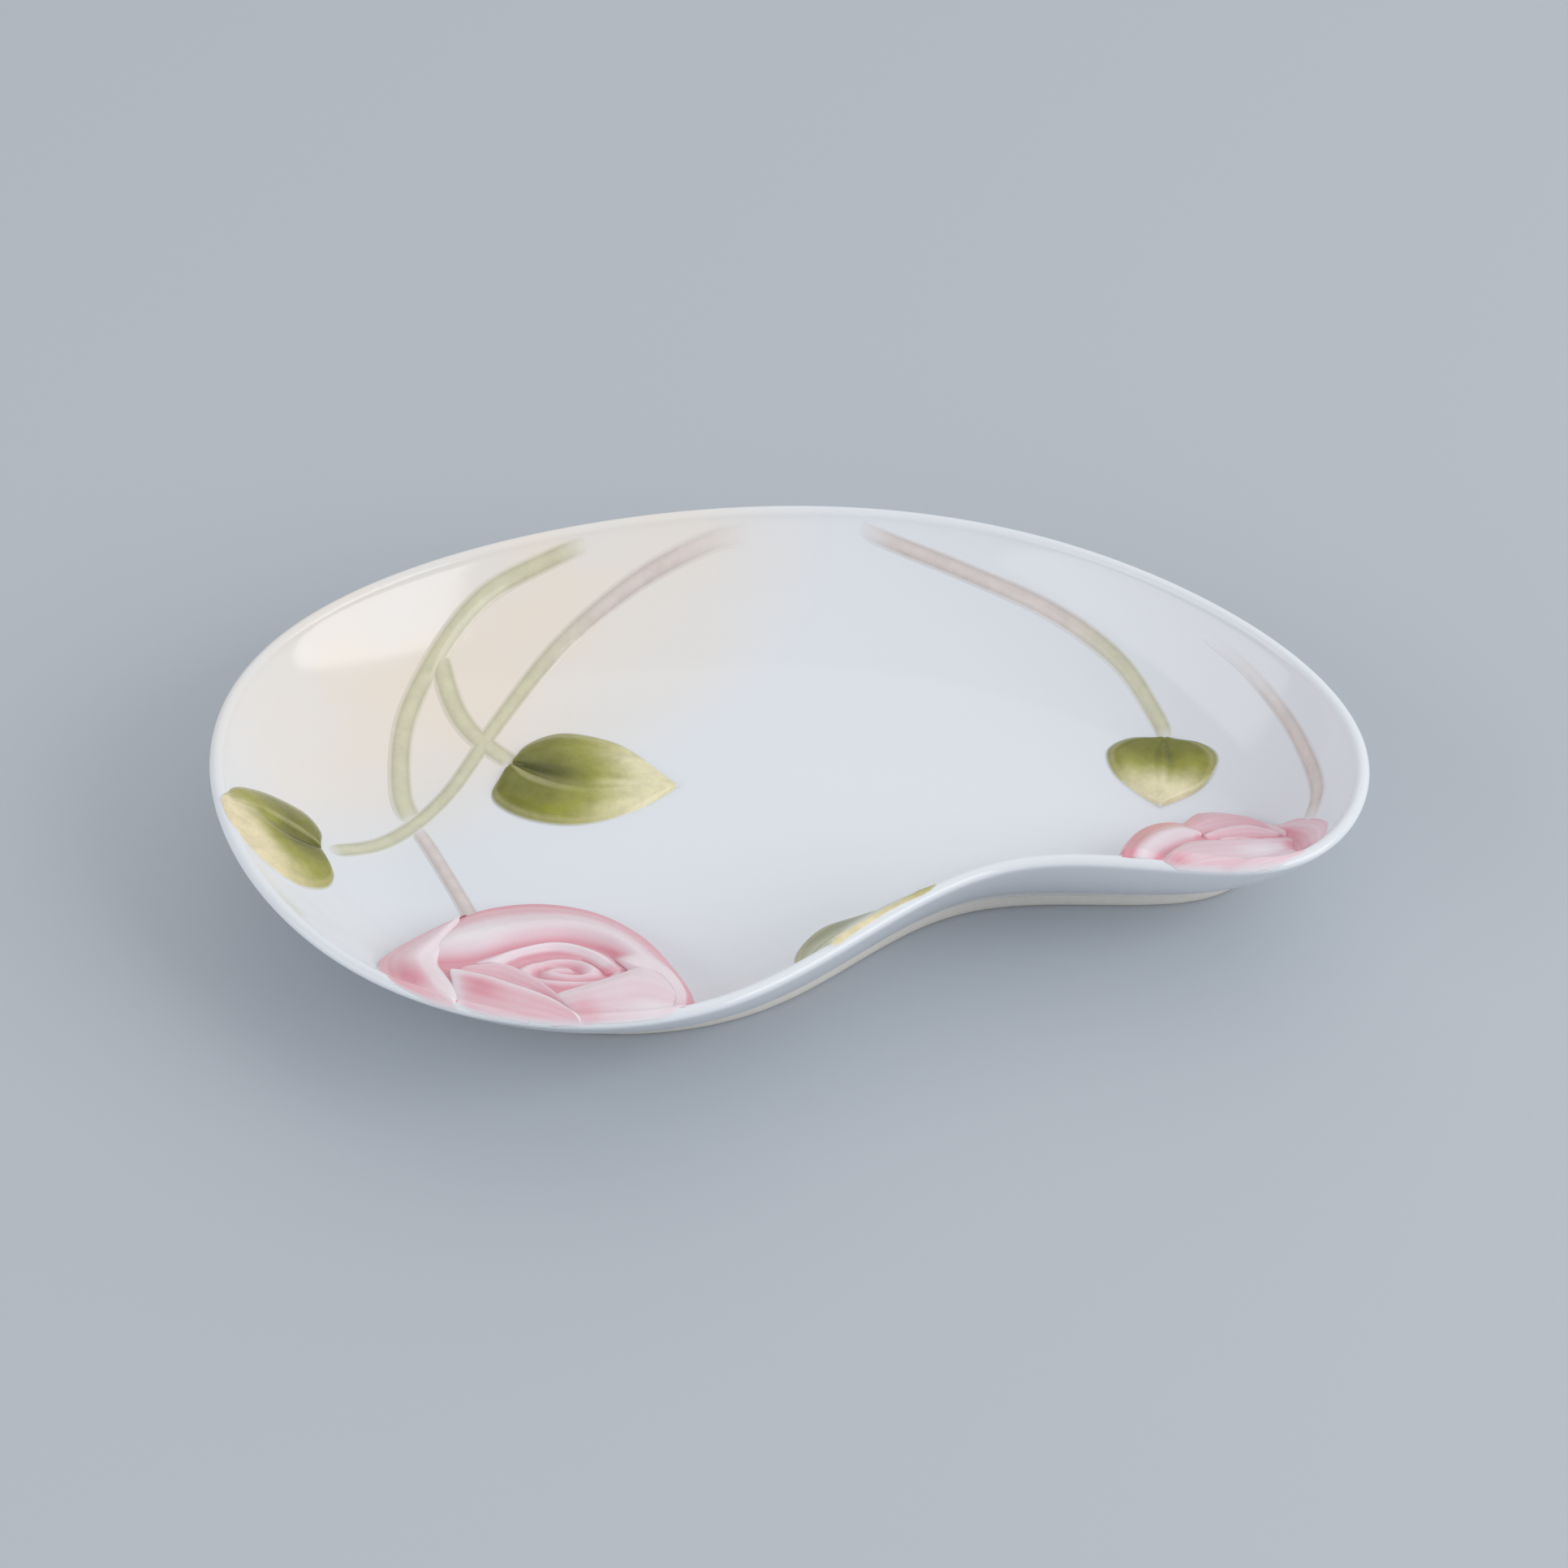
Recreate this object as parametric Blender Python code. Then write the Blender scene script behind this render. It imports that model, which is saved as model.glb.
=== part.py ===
"""Kidney-shaped porcelain saucer: a cast dish on a foot ring, with roses, leaves and stems luted on."""

import math

import bmesh
import bpy
import numpy as np
from mathutils import Vector
from mathutils.bvhtree import BVHTree

# Driving sizes of the dish, in metres
LENGTH = 0.140
WIDTH = 0.0927
RIM_HEIGHT = 0.0187
LIP_THICKNESS = 0.0018
FLOOR_THICKNESS = 0.003
FOOT_HEIGHT = 0.0017
FOOT_WIDTH = 0.003

# Lean of the wall's arcs from the bottom to the lip: nearly straight outside, level with the floor inside
OUTER_LEANS = (math.radians(40), math.radians(55))
INNER_LEANS = (0, math.radians(35))

# Slip joint between luted pieces, and the sizes of the relief, in metres
SLIP = 0.0003
STEM_HEIGHT = 0.0006
STEM_EDGE = 0.0002
LEAF_EDGE = 0.0006
LEAF_CROWN = 0.0012
LEAF_GROOVE = 0.0007
PETAL_EDGE = 0.0005
PETAL_GAP = 0.0005
PETAL_TIP = 0.001

# Plan drawing in millimetres, stretched to LENGTH and WIDTH; outlines run anticlockwise from the left end
RIM_DRAWING = (
    (-69.9, -4.7), (-47.8, -39.0), (-7.0, -42.7), (26.8, -20.1), (59.0, -19.8),
    (69.9, 2.6), (36.8, 38.7), (-16.8, 45.3), (-61.1, 24.5),
)
FOOT_DRAWING = (
    (-50.3, -0.7), (-36.2, -25.9), (-3.7, -26.5), (22.3, -9.3), (50.2, -7.3),
    (57.4, 5.4), (27.5, 25.5), (-15.0, 29.0), (-44.0, 15.0),
)
FLOOR_DRAWING = (
    (-44.3, -0.4), (-32.8, -20.6), (-4.6, -20.8), (22.2, -3.2), (46.5, -2.2),
    (50.8, 5.0), (24.8, 19.8), (-14.0, 23.0), (-38.8, 11.8),
)

# Stems: width at the foot and at the far end in metres, then the route on the plan drawing
STEMS = {
    "stem_long": (0.0024, 0.0022, (
        (-56.5, -7.0), (-49.2, -2.2), (-42.6, 6.3), (-36.5, 19.6), (-29.5, 30.2), (-20.4, 37.9),
        (-10.6, 42.6),
    )),
    "stem_arc": (0.0028, 0.0018, (
        (-46.1, 0.9), (-48.1, 6.5), (-48.2, 16.8), (-44.6, 26.2), (-38.7, 33.8), (-30.1, 38.9),
    )),
    "stem_leaf": (0.0016, 0.0018, (
        (-45.4, 26.7), (-43.1, 23.5), (-39.8, 17.4), (-37.4, 15.2), (-34.4, 12.5), (-31.0, 10.4),
    )),
    "stem_rose": (0.0020, 0.0020, (
        (-46.1, 0.9), (-43.5, -4.0), (-39.1, -13.4), (-37.0, -18.5),
    )),
    "stem_back": (0.0018, 0.0022, (
        (10.0, 43.8), (21.0, 39.5), (32.9, 33.4), (41.6, 26.0), (46.3, 18.1), (47.2, 12.0),
    )),
    "stem_side": (0.0012, 0.0018, (
        (50.8, 26.0), (57.3, 18.6), (62.3, 9.7), (64.5, 0.5), (62.2, -8.0),
    )),
}

# What each stem stops short of, and the one stem that a stem passes over
STEM_MEETS = {
    "stem_long": ("leaf_left",),
    "stem_arc": ("stem_long",),
    "stem_leaf": ("stem_arc", "leaf_centre"),
    "stem_rose": ("stem_long", "rose_large"),
    "stem_back": ("leaf_right",),
    "stem_side": ("rose_small",),
}
STEM_OVER = {"stem_leaf": "stem_long"}
BROWN_STEMS = ("stem_rose", "stem_back", "stem_side")

# Leaves: stalk end and tip on the plan drawing, then the half width of either side in metres
LEAVES = {
    "leaf_left": ((-57.2, -8.2), (-67.0, -8.8), 0.0086, 0.0064),
    "leaf_centre": ((-35.4, 9.7), (-14.0, 8.1), 0.0088, 0.0082),
    "leaf_right": ((47.2, 14.0), (46.0, 4.5), 0.0074, 0.0070),
    "leaf_notch": ((13.5, -14.5), (5.8, -31.0), 0.0078, 0.0088),
}
LEAF_LOBE = 0.0018

# Roses: where the slope that each fills starts on the floor and where it ends on the rim, on the plan drawing
ROSES = {
    "rose_large": ((-24.9, -11.0), (-27.3, -46.0)),
    "rose_small": ((54.6, 3.9), (51.8, -19.8)),
}
# Seams that the petals lie between: their edges on the dish, and the folds, crests and laps inside the rose
SEAMS = {
    "rose_large": {
        "edge_back": ((-38.9, -18.0), (-36.0, -15.4), (-30.0, -13.9), (-23.4, -16.2), (-17.6, -23.0),
                      (-13.3, -33.1), (-11.6, -39.0)),
        "edge_left": ((-39.0, -17.6), (-43.0, -22.5), (-47.3, -29.0), (-47.9, -32.4), (-46.3, -38.0),
                      (-41.5, -41.9), (-38.6, -43.0)),
        "edge_front": ((-37.7, -43.4), (-34.5, -45.0), (-31.2, -46.0), (-28.2, -46.4), (-24.4, -46.2)),
        "edge_right": ((-23.4, -45.6), (-20.0, -45.7), (-16.6, -45.6), (-13.6, -44.4), (-12.2, -42.6)),
        "fold_back": ((-41.4, -30.9), (-37.2, -30.0), (-33.2, -27.1), (-27.6, -24.4), (-22.4, -26.6),
                      (-18.4, -31.6), (-14.8, -34.0), (-12.2, -39.2)),
        "fold_left": ((-39.4, -18.2), (-40.6, -25.0), (-41.9, -30.4), (-40.6, -34.5), (-39.0, -38.6),
                      (-38.4, -42.8)),
        "crest_front": ((-39.0, -33.4), (-35.4, -35.4), (-32.5, -37.5), (-29.7, -39.5), (-27.1, -41.7),
                        (-24.2, -45.4)),
        "crest_right": ((-26.4, -38.9), (-23.4, -36.8), (-20.2, -34.3), (-18.0, -32.8), (-15.2, -34.8),
                        (-12.6, -39.6)),
        "lap_back": ((-36.9, -30.4), (-33.1, -27.2), (-27.6, -24.6), (-22.6, -26.8), (-19.0, -31.4)),
        "fold_inner": ((-33.0, -30.8), (-31.0, -28.6), (-27.6, -27.2), (-24.2, -28.8), (-21.4, -32.6)),
        "crest_inner": ((-37.6, -32.2), (-35.1, -31.6), (-33.4, -31.6), (-31.1, -33.6), (-28.9, -36.3),
                        (-27.4, -38.6)),
        "lap_heart": ((-33.0, -31.7), (-30.9, -33.7), (-28.7, -36.4), (-26.6, -38.2), (-23.4, -36.5),
                      (-20.8, -34.4)),
    },
    "rose_small": {
        "edge_back": ((48.6, -2.6), (50.2, 1.2), (52.9, 2.3), (56.0, 0.8), (58.6, -2.2)),
        "edge_left": ((39.5, -18.0), (40.8, -13.1), (42.4, -8.3), (44.4, -4.9), (46.5, -3.6), (48.3, -4.5),
                      (49.6, -7.4)),
        "edge_front": ((47.0, -21.3), (50.4, -21.2), (54.0, -20.9), (57.3, -20.2), (60.6, -18.3)),
        "edge_right": ((59.4, -1.9), (61.8, -2.4), (64.0, -5.2), (64.9, -9.0), (63.6, -14.4)),
        "fold_back": ((50.3, -6.2), (52.4, -4.0), (55.6, -1.7), (57.6, -2.8), (58.8, -4.6)),
        "fold_left": ((43.6, -18.8), (45.4, -15.5), (47.6, -12.3), (49.6, -9.2)),
        "crest_front": ((46.6, -20.4), (50.0, -20.1), (53.4, -19.8), (56.4, -17.4), (60.0, -13.7)),
        "crest_right": ((60.0, -4.8), (60.8, -6.6), (61.3, -9.0), (61.0, -12.0), (61.0, -15.4)),
        "lap_back": ((50.2, -8.0), (52.3, -4.6), (55.6, -2.1), (57.8, -3.4), (59.3, -6.0)),
        "fold_inner": ((50.6, -9.4), (53.0, -8.0), (56.0, -6.8), (59.2, -6.6)),
        "crest_inner": ((44.9, -18.9), (46.4, -15.6), (48.4, -12.8), (52.0, -11.6), (56.0, -10.2),
                        (60.2, -8.6)),
        "lap_heart": ((51.2, -11.6), (54.0, -10.7), (57.0, -9.6), (60.0, -8.4)),
    },
}
OUTLINE = ("edge_back", "edge_left", "edge_front", "edge_right")
# Petals: inner and outer seam, share across to the crest, then height over the slope at each of the three
PETALS = {
    "right_petal": ("crest_right", "edge_right", 0.25, (0.0005, 0.0011, 0.0004)),
    "back_petal": ("fold_back", "edge_back", 0.45, (-0.0003, 0.0012, 0.0)),
    "left_petal": ("fold_left", "edge_left", 0.3, (0.0004, 0.0010, 0.0)),
    "front_petal": ("crest_front", "edge_front", 0.15, (0.0007, 0.0010, 0.0002)),
    "inner_back_petal": ("fold_inner", "lap_back", 0.55, (-0.0004, 0.0007, -0.0003)),
    "inner_front_petal": ("crest_inner", "crest_front", 0.2, (0.0003, 0.0007, -0.0002)),
    "heart": ("lap_heart", "fold_inner", 0.5, (-0.0006, 0.0007, -0.0006)),
}
SEAT_LEAN = math.radians(70)

# Counts and spacings of facets
LINE_POINTS = 72
AROUND = 96
WALL_STEPS = 7
LIP_STEPS = 4
STEM_SPACING = 0.0022
STEM_ROWS = 4
LEAF_ROWS = 11
LEAF_COLUMNS = 8
PETAL_ROWS = 6
PETAL_SPACING = 0.002

UNDERSIDE = FOOT_HEIGHT + SLIP
FLOOR_HEIGHT = UNDERSIDE + FLOOR_THICKNESS
LIP_RADIUS = LIP_THICKNESS / 2
WALL_TOP = RIM_HEIGHT - LIP_RADIUS
PETAL_MARGIN = LIP_RADIUS + SLIP


def closed_spline(knots, spans, count):
    """Points of the smooth closed curve through the knots, evenly spread over the spans."""
    size = len(knots)
    left = np.zeros((size, size))
    right = np.zeros(knots.shape)
    for i in range(size):
        after = (i + 1) % size
        left[i, i - 1] += spans[i - 1]
        left[i, i] += 2 * (spans[i - 1] + spans[i])
        left[i, after] += spans[i]
        right[i] = 6 * ((knots[after] - knots[i]) / spans[i] - (knots[i] - knots[i - 1]) / spans[i - 1])
    bend = np.linalg.solve(left, right)
    starts = np.concatenate([[0], np.cumsum(spans)])
    curve = []
    for place in np.linspace(0, starts[-1], count, endpoint=False):
        i = int(np.searchsorted(starts, place, side="right")) - 1
        after = (i + 1) % size
        share = (place - starts[i]) / spans[i]
        rest = 1 - share
        bow = (rest**3 - rest) * bend[i] + (share**3 - share) * bend[after]
        curve.append(rest * knots[i] + share * knots[after] + spans[i] ** 2 / 6 * bow)
    return np.array(curve)


class Plan:
    """The plan drawing stretched to the dish's length and width, with its three outlines."""

    def __init__(self):
        rim_knots = np.array(RIM_DRAWING)
        spans = np.linalg.norm(np.roll(rim_knots, -1, 0) - rim_knots, axis=1) ** 0.5
        drawn = closed_spline(rim_knots, spans, AROUND)
        self.middle = (drawn.max(0) + drawn.min(0)) / 2
        self.stretch = np.array((LENGTH, WIDTH)) / (drawn.max(0) - drawn.min(0))
        self.rim = self.place(drawn)
        self.foot = self.place(closed_spline(np.array(FOOT_DRAWING), spans, AROUND))
        self.floor = self.place(closed_spline(np.array(FLOOR_DRAWING), spans, AROUND))

    def place(self, drawn):
        """Points of the drawing in metres."""
        return (np.array(drawn) - self.middle) * self.stretch

    def room(self, place, ray, margin):
        """Distance from a place, along a unit ray, to the line that runs a margin inside the rim."""
        line = inset(self.rim, margin)
        edge = line - place
        run = np.roll(line, -1, 0) - line
        turned = run[:, 0] * ray[1] - run[:, 1] * ray[0]
        share = (ray[0] * edge[:, 1] - ray[1] * edge[:, 0]) / turned
        far = (run[:, 0] * edge[:, 1] - run[:, 1] * edge[:, 0]) / turned
        return far[(share >= 0) & (share <= 1) & (far > 0)].min()

    def inside(self, place, margin):
        """The place, or where it lies too far out, the nearest one on the line a margin inside the rim."""
        line = inset(self.rim, margin)
        run = np.roll(line, -1, 0) - line
        gap = place - line
        share = np.clip((gap * run).sum(1) / (run**2).sum(1), 0, 1)
        nearest = line + run * share[:, None]
        i = np.linalg.norm(nearest - place, axis=1).argmin()
        is_out = run[i, 0] * gap[i, 1] < run[i, 1] * gap[i, 0]
        return nearest[i] if is_out else place


class Bed:
    """The dish's upper face, on which the relief is luted."""

    STEP = 0.0006

    def __init__(self, mesh):
        self.tree = BVHTree.FromBMesh(mesh)

    def below(self, x, y):
        """Point of the dish at a place seen from above, and the direction that its facet faces."""
        return self.tree.ray_cast(Vector((x, y, 2 * RIM_HEIGHT)), Vector((0, 0, -1)))[:2]

    def height(self, x, y):
        """Height of the dish at a place seen from above."""
        return self.below(x, y)[0].z

    def normal(self, x, y):
        """Direction that the dish faces there, smoothed over its facets."""
        across = self.height(x + self.STEP, y) - self.height(x - self.STEP, y)
        deep = self.height(x, y + self.STEP) - self.height(x, y - self.STEP)
        return Vector((-across, -deep, 2 * self.STEP)).normalized()

    def above(self, place, lift):
        """The point at a distance off the dish, square to it."""
        x, y = place
        return Vector((x, y, self.height(x, y))) + self.normal(x, y) * lift


def inset(ring, distance):
    """An anticlockwise ring moved in by a distance."""
    along = np.roll(ring, -1, 0) - np.roll(ring, 1, 0)
    across = np.stack([-along[:, 1], along[:, 0]], axis=1)
    return ring + across / np.linalg.norm(across, axis=1)[:, None] * distance


def at_height(ring, height):
    """The points of a flat ring at one height."""
    return [Vector((x, y, height)) for x, y in ring]


def wall(low_ring, high_ring, low, leans):
    """Rings up a wall whose section is an arc between two leans, stretched from one outline to the other."""
    first, last = leans
    rings = []
    for lean in np.linspace(first, last, WALL_STEPS + 1):
        share = (math.sin(lean) - math.sin(first)) / (math.sin(last) - math.sin(first))
        rise = (math.cos(first) - math.cos(lean)) / (math.cos(first) - math.cos(last))
        rings.append(at_height(low_ring * (1 - share) + high_ring * share, low + (WALL_TOP - low) * rise))
    return rings


def lip(rim):
    """Rings over the rounded lip, from its outer side to its inner side."""
    rings = []
    for turn in np.linspace(0, math.pi, LIP_STEPS + 2)[1:-1]:
        ring = inset(rim, LIP_RADIUS * (1 - math.cos(turn)))
        rings.append(at_height(ring, WALL_TOP + LIP_RADIUS * math.sin(turn)))
    return rings


def loft(rings, closed=False):
    """A mesh through matched rings: capped at both ends, or closed on itself."""
    mesh = bmesh.new()
    rows = [[mesh.verts.new(point) for point in ring] for ring in rings]
    pairs = list(zip(rows, rows[1:]))
    if closed:
        pairs.append((rows[-1], rows[0]))
    else:
        mesh.faces.new(rows[0][::-1])
        mesh.faces.new(rows[-1])
    for low, high in pairs:
        for i in range(len(low)):
            mesh.faces.new((low[i - 1], low[i], high[i], high[i - 1]))
    bmesh.ops.recalc_face_normals(mesh, faces=mesh.faces)
    return mesh


def slab(columns, rows, low_corner, high_corner):
    """A closed solid from a flat grid: its lower and upper corners are placed by their shares, 0 to 1."""
    mesh = bmesh.new()
    bmesh.ops.create_grid(mesh, x_segments=columns, y_segments=rows, size=0.5)
    low = mesh.verts[:]
    made = bmesh.ops.extrude_face_region(mesh, geom=mesh.faces[:])["geom"]
    high = [item for item in made if isinstance(item, bmesh.types.BMVert)]
    for corners, place in ((low, low_corner), (high, high_corner)):
        for corner in corners:
            corner.co = place(corner.co.x + 0.5, corner.co.y + 0.5)
    bmesh.ops.recalc_face_normals(mesh, faces=mesh.faces)
    if mesh.calc_volume(signed=True) < 0:
        bmesh.ops.reverse_faces(mesh, faces=mesh.faces)
    return mesh


def make_dish(plan):
    """The cast body: outer wall, lip, inner wall and floor in one shell."""
    rings = wall(plan.foot, plan.rim, UNDERSIDE, OUTER_LEANS)
    rings += lip(plan.rim)
    rings += wall(plan.floor, inset(plan.rim, LIP_THICKNESS), FLOOR_HEIGHT, INNER_LEANS)[::-1]
    return loft(rings)


def make_foot(plan):
    """The ring under the dish, flat where it stands."""
    inner = inset(plan.foot, FOOT_WIDTH)
    section = ((plan.foot, 0), (plan.foot, FOOT_HEIGHT), (inner, FOOT_HEIGHT), (inner, 0))
    return loft([at_height(ring, height) for ring, height in section], closed=True)


def length(points):
    """Length of a polyline."""
    return np.linalg.norm(np.diff(points, axis=0), axis=1).sum()


def spread(points, count):
    """Points evenly spread along a polyline, a count of steps from end to end."""
    run = np.concatenate([[0], np.cumsum(np.linalg.norm(np.diff(points, axis=0), axis=1))])
    places = np.linspace(0, run[-1], count + 1)
    return np.stack([np.interp(places, run, column) for column in points.T], axis=1)


def smooth_route(points):
    """A fine polyline along the smooth curve through the points."""
    points = [2 * points[0] - points[1], *points, 2 * points[-1] - points[-2]]
    fine = []
    for before, start, end, after in zip(points, points[1:], points[2:], points[3:]):
        leave, arrive = (end - before) / 2, (after - start) / 2
        for t in np.linspace(0, 1, LINE_POINTS, endpoint=False):
            ease = t * t * (3 - 2 * t)
            fine.append(start + (end - start) * ease + leave * t * (1 - t) ** 2 - arrive * t * t * (1 - t))
    return np.array(fine + [points[-2]])


def distance(place, line):
    """Distance from a place to the nearest stretch of a polyline."""
    start, run = line[:-1], np.diff(line, axis=0)
    share = np.clip(((place - start) * run).sum(1) / np.maximum((run**2).sum(1), 1e-18), 0, 1)
    return np.linalg.norm(start + run * share[:, None] - place, axis=1).min()


def clear_stretch(route, neighbours, half):
    """The longest stretch of a route whose strip keeps a slip joint from the neighbours."""
    stretches = [[]]
    for place in route:
        if all(distance(place, line) > half + other + SLIP for line, other in neighbours):
            stretches[-1].append(place)
        else:
            stretches.append([])
    return max(stretches, key=len)


class Stem:
    """A low half-round strip along a route on the dish."""

    def __init__(self, plan, name):
        self.foot_width, self.far_width, drawn = STEMS[name]
        self.half = max(self.foot_width, self.far_width) / 2
        self.lines = [smooth_route(plan.place(drawn))]

    def mesh(self, bed, neighbours, crossed):
        """The strip, cut where it meets its neighbours and lifted over the stem that it crosses."""
        clear = np.array(clear_stretch(self.lines[0], neighbours, self.half))
        count = max(int(round(length(clear) / STEM_SPACING)), 2)
        route = spread(clear, count)
        along = np.gradient(route, axis=0)

        def spot(share, side):
            station = int(round(share * count))
            x, y = route[station]
            ahead = Vector((*along[station], 0))
            normal = bed.normal(x, y)
            ahead -= normal * ahead.dot(normal)
            across = normal.cross(ahead).normalized()
            width = self.foot_width + (self.far_width - self.foot_width) * share
            ends = min(station, count - station) * STEM_SPACING / width
            width *= min(1, 0.5 + ends)
            return np.array((x, y)) + np.array(across[:2]) * width * (side - 0.5)

        def rise(place):
            if crossed is None:
                return SLIP
            reach = crossed.half + self.half + SLIP
            ramp = min(max(2 - distance(place, crossed.lines[0]) / reach, 0), 1)
            return SLIP + (STEM_HEIGHT + SLIP) * ramp**2 * (3 - 2 * ramp)

        def low(share, side):
            place = spot(share, side)
            return bed.above(place, rise(place))

        def high(share, side):
            place = spot(share, side)
            crown = (STEM_HEIGHT - STEM_EDGE) * math.sin(math.pi * side)
            return bed.above(place, rise(place) + STEM_EDGE + crown)

        return slab(count, STEM_ROWS, low, high)


class Leaf:
    """A crowned leaf with a groove along its midrib."""

    def __init__(self, plan, name):
        stalk, tip, self.left_half, self.right_half = LEAVES[name]
        self.plan = plan
        self.stalk = plan.place(stalk)
        axis = plan.place(tip) - self.stalk
        self.ahead = axis / np.linalg.norm(axis)
        length = min(np.linalg.norm(axis), plan.room(self.stalk, self.ahead, LIP_THICKNESS + SLIP))
        self.axis = self.ahead * length
        self.left = np.array((-self.ahead[1], self.ahead[0]))
        shares = np.linspace(0, 1, LINE_POINTS)
        edge = [self.spot(share, 0) for share in shares] + [self.spot(share, 1) for share in shares[::-1]]
        self.lines = [np.array(edge + edge[:1])]
        self.half = 0

    def spot(self, share, side):
        """A place on the leaf: its share from the stalk to the tip, and from its right edge to its left."""
        across = 2 * side - 1
        half, ray = (self.left_half, self.left) if across > 0 else (self.right_half, -self.left)
        swell = math.sin(math.pi * (0.08 + 0.92 * share) ** 0.8) ** 0.75 if share < 1 else 0
        rib = self.stalk + self.axis * share
        half = min(half * max(swell, 0.04), self.plan.room(rib, ray, LIP_THICKNESS))
        return rib - self.ahead * LEAF_LOBE * across**2 * (1 - share) ** 2 + ray * half * abs(across)

    def mesh(self, bed):
        """The leaf laid on the dish."""

        def low(share, side):
            return bed.above(self.spot(share, side), SLIP)

        def high(share, side):
            across = 2 * side - 1
            crown = LEAF_CROWN * (1 - across**2) * math.sin(math.pi * (0.1 + 0.8 * share))
            groove = LEAF_GROOVE * math.exp(-((across / 0.2) ** 2)) * (1 - share)
            return bed.above(self.spot(share, side), SLIP + LEAF_EDGE + crown - groove)

        return slab(LEAF_ROWS, LEAF_COLUMNS, low, high)


class Rose:
    """A rose in high relief that fills the cove of the wall, from the rim down to the floor."""

    def __init__(self, plan, bed, name):
        low, rim = (plan.place(drawn) for drawn in ROSES[name])
        self.bed = bed
        self.low_end = low
        slope = rim - low
        self.outward = slope / np.linalg.norm(slope)
        self.reach = np.linalg.norm(slope) - LIP_RADIUS
        self.seams = {}
        for seam, drawn in SEAMS[name].items():
            line = smooth_route(plan.place(drawn))
            self.seams[seam] = np.array([plan.inside(place, PETAL_MARGIN) for place in line])
        self.lines = [self.seams[seam] for seam in OUTLINE]
        self.half = 0

    def low(self, place):
        """The point on the slip joint."""
        point, normal = self.bed.below(*place)
        return point + Vector((0, 0, SLIP / max(normal.z, math.cos(SEAT_LEAN))))

    def high(self, place, lift):
        """The point on the slope from the floor to the lip, raised by lift and no thinner than the edge."""
        low = self.low(place)
        share = min((place - self.low_end) @ self.outward / self.reach, 1)
        slope = FLOOR_HEIGHT + (RIM_HEIGHT - FLOOR_HEIGHT) * share + lift
        over = slope - low.z - PETAL_EDGE
        return low + Vector((0, 0, PETAL_EDGE + (over + math.hypot(over, PETAL_EDGE)) / 2))

    def petal(self, name):
        """A petal between its two seams, half a gap from each, and cut short where it tapers to a point."""
        inner_seam, outer_seam, crest, heights = PETALS[name]
        inner, outer = (spread(self.seams[seam], LINE_POINTS) for seam in (inner_seam, outer_seam))
        width = np.linalg.norm(outer - inner, axis=1)
        full = np.flatnonzero(width > PETAL_GAP + PETAL_TIP)
        inner, outer, width = (values[full[0]:full[-1] + 1] for values in (inner, outer, width))
        gap = (outer - inner) * (PETAL_GAP / 2 / width[:, None])
        columns = int(round(max(length(inner), length(outer)) / PETAL_SPACING))
        near, far = spread(inner + gap, columns), spread(outer - gap, columns)

        def spot(share, side):
            station = int(round(share * columns))
            return near[station] * (1 - side) + far[station] * side

        def low(share, side):
            return self.low(spot(share, side))

        def high(share, side):
            rise = np.interp(side, (0, crest, 1), heights)
            return self.high(spot(share, side), rise * math.sin(math.pi * (0.1 + 0.8 * share)))

        return slab(columns, PETAL_ROWS, low, high)


def add_object(mesh, name, material, collection):
    """Turns a mesh into a named object of the collection, shaded smooth."""
    data = bpy.data.meshes.new(name)
    mesh.to_mesh(data)
    mesh.free()
    data.materials.append(material)
    data.shade_smooth()
    data.set_sharp_from_angle(angle=math.radians(40))
    collection.objects.link(bpy.data.objects.new(name, data))


def finish(name, colour, roughness):
    """A Principled material with the piece's colour."""
    made = bpy.data.materials.new(name)
    made.use_nodes = True
    shader = made.node_tree.nodes["Principled BSDF"]
    shader.inputs["Base Color"].default_value = (*colour, 1)
    shader.inputs["Roughness"].default_value = roughness
    shader.inputs["Metallic"].default_value = 0
    return made


def main():
    for old in list(bpy.data.objects):
        bpy.data.objects.remove(old)
    saucer = bpy.data.collections.new("saucer")
    bpy.context.scene.collection.children.link(saucer)

    plan = Plan()
    dish = make_dish(plan)
    bed = Bed(dish)
    add_object(dish, "dish", finish("white_glaze", (0.86, 0.88, 0.9), 0.12), saucer)
    add_object(make_foot(plan), "foot_ring", finish("bare_biscuit", (0.82, 0.79, 0.74), 0.7), saucer)

    relief = {name: Stem(plan, name) for name in STEMS}
    relief.update({name: Leaf(plan, name) for name in LEAVES})
    relief.update({name: Rose(plan, bed, name) for name in ROSES})
    stem_green = finish("stem_green", (0.62, 0.68, 0.5), 0.25)
    stem_brown = finish("stem_brown", (0.7, 0.63, 0.58), 0.25)
    leaf_green = finish("leaf_green", (0.42, 0.48, 0.14), 0.2)
    petal_pink = finish("petal_pink", (0.92, 0.7, 0.74), 0.2)
    for name in STEMS:
        met = [relief[other] for other in STEM_MEETS[name]]
        neighbours = [(line, other.half) for other in met for line in other.lines]
        crossed = relief[STEM_OVER[name]] if name in STEM_OVER else None
        colour = stem_brown if name in BROWN_STEMS else stem_green
        add_object(relief[name].mesh(bed, neighbours, crossed), name, colour, saucer)
    for name in LEAVES:
        add_object(relief[name].mesh(bed), name, leaf_green, saucer)
    for name in ROSES:
        for petal in PETALS:
            add_object(relief[name].petal(petal), f"{name}_{petal}", petal_pink, saucer)


main()
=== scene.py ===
"""Kidney-shaped porcelain saucer: glaze, roses, leaves and stems in relief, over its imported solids."""

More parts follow.
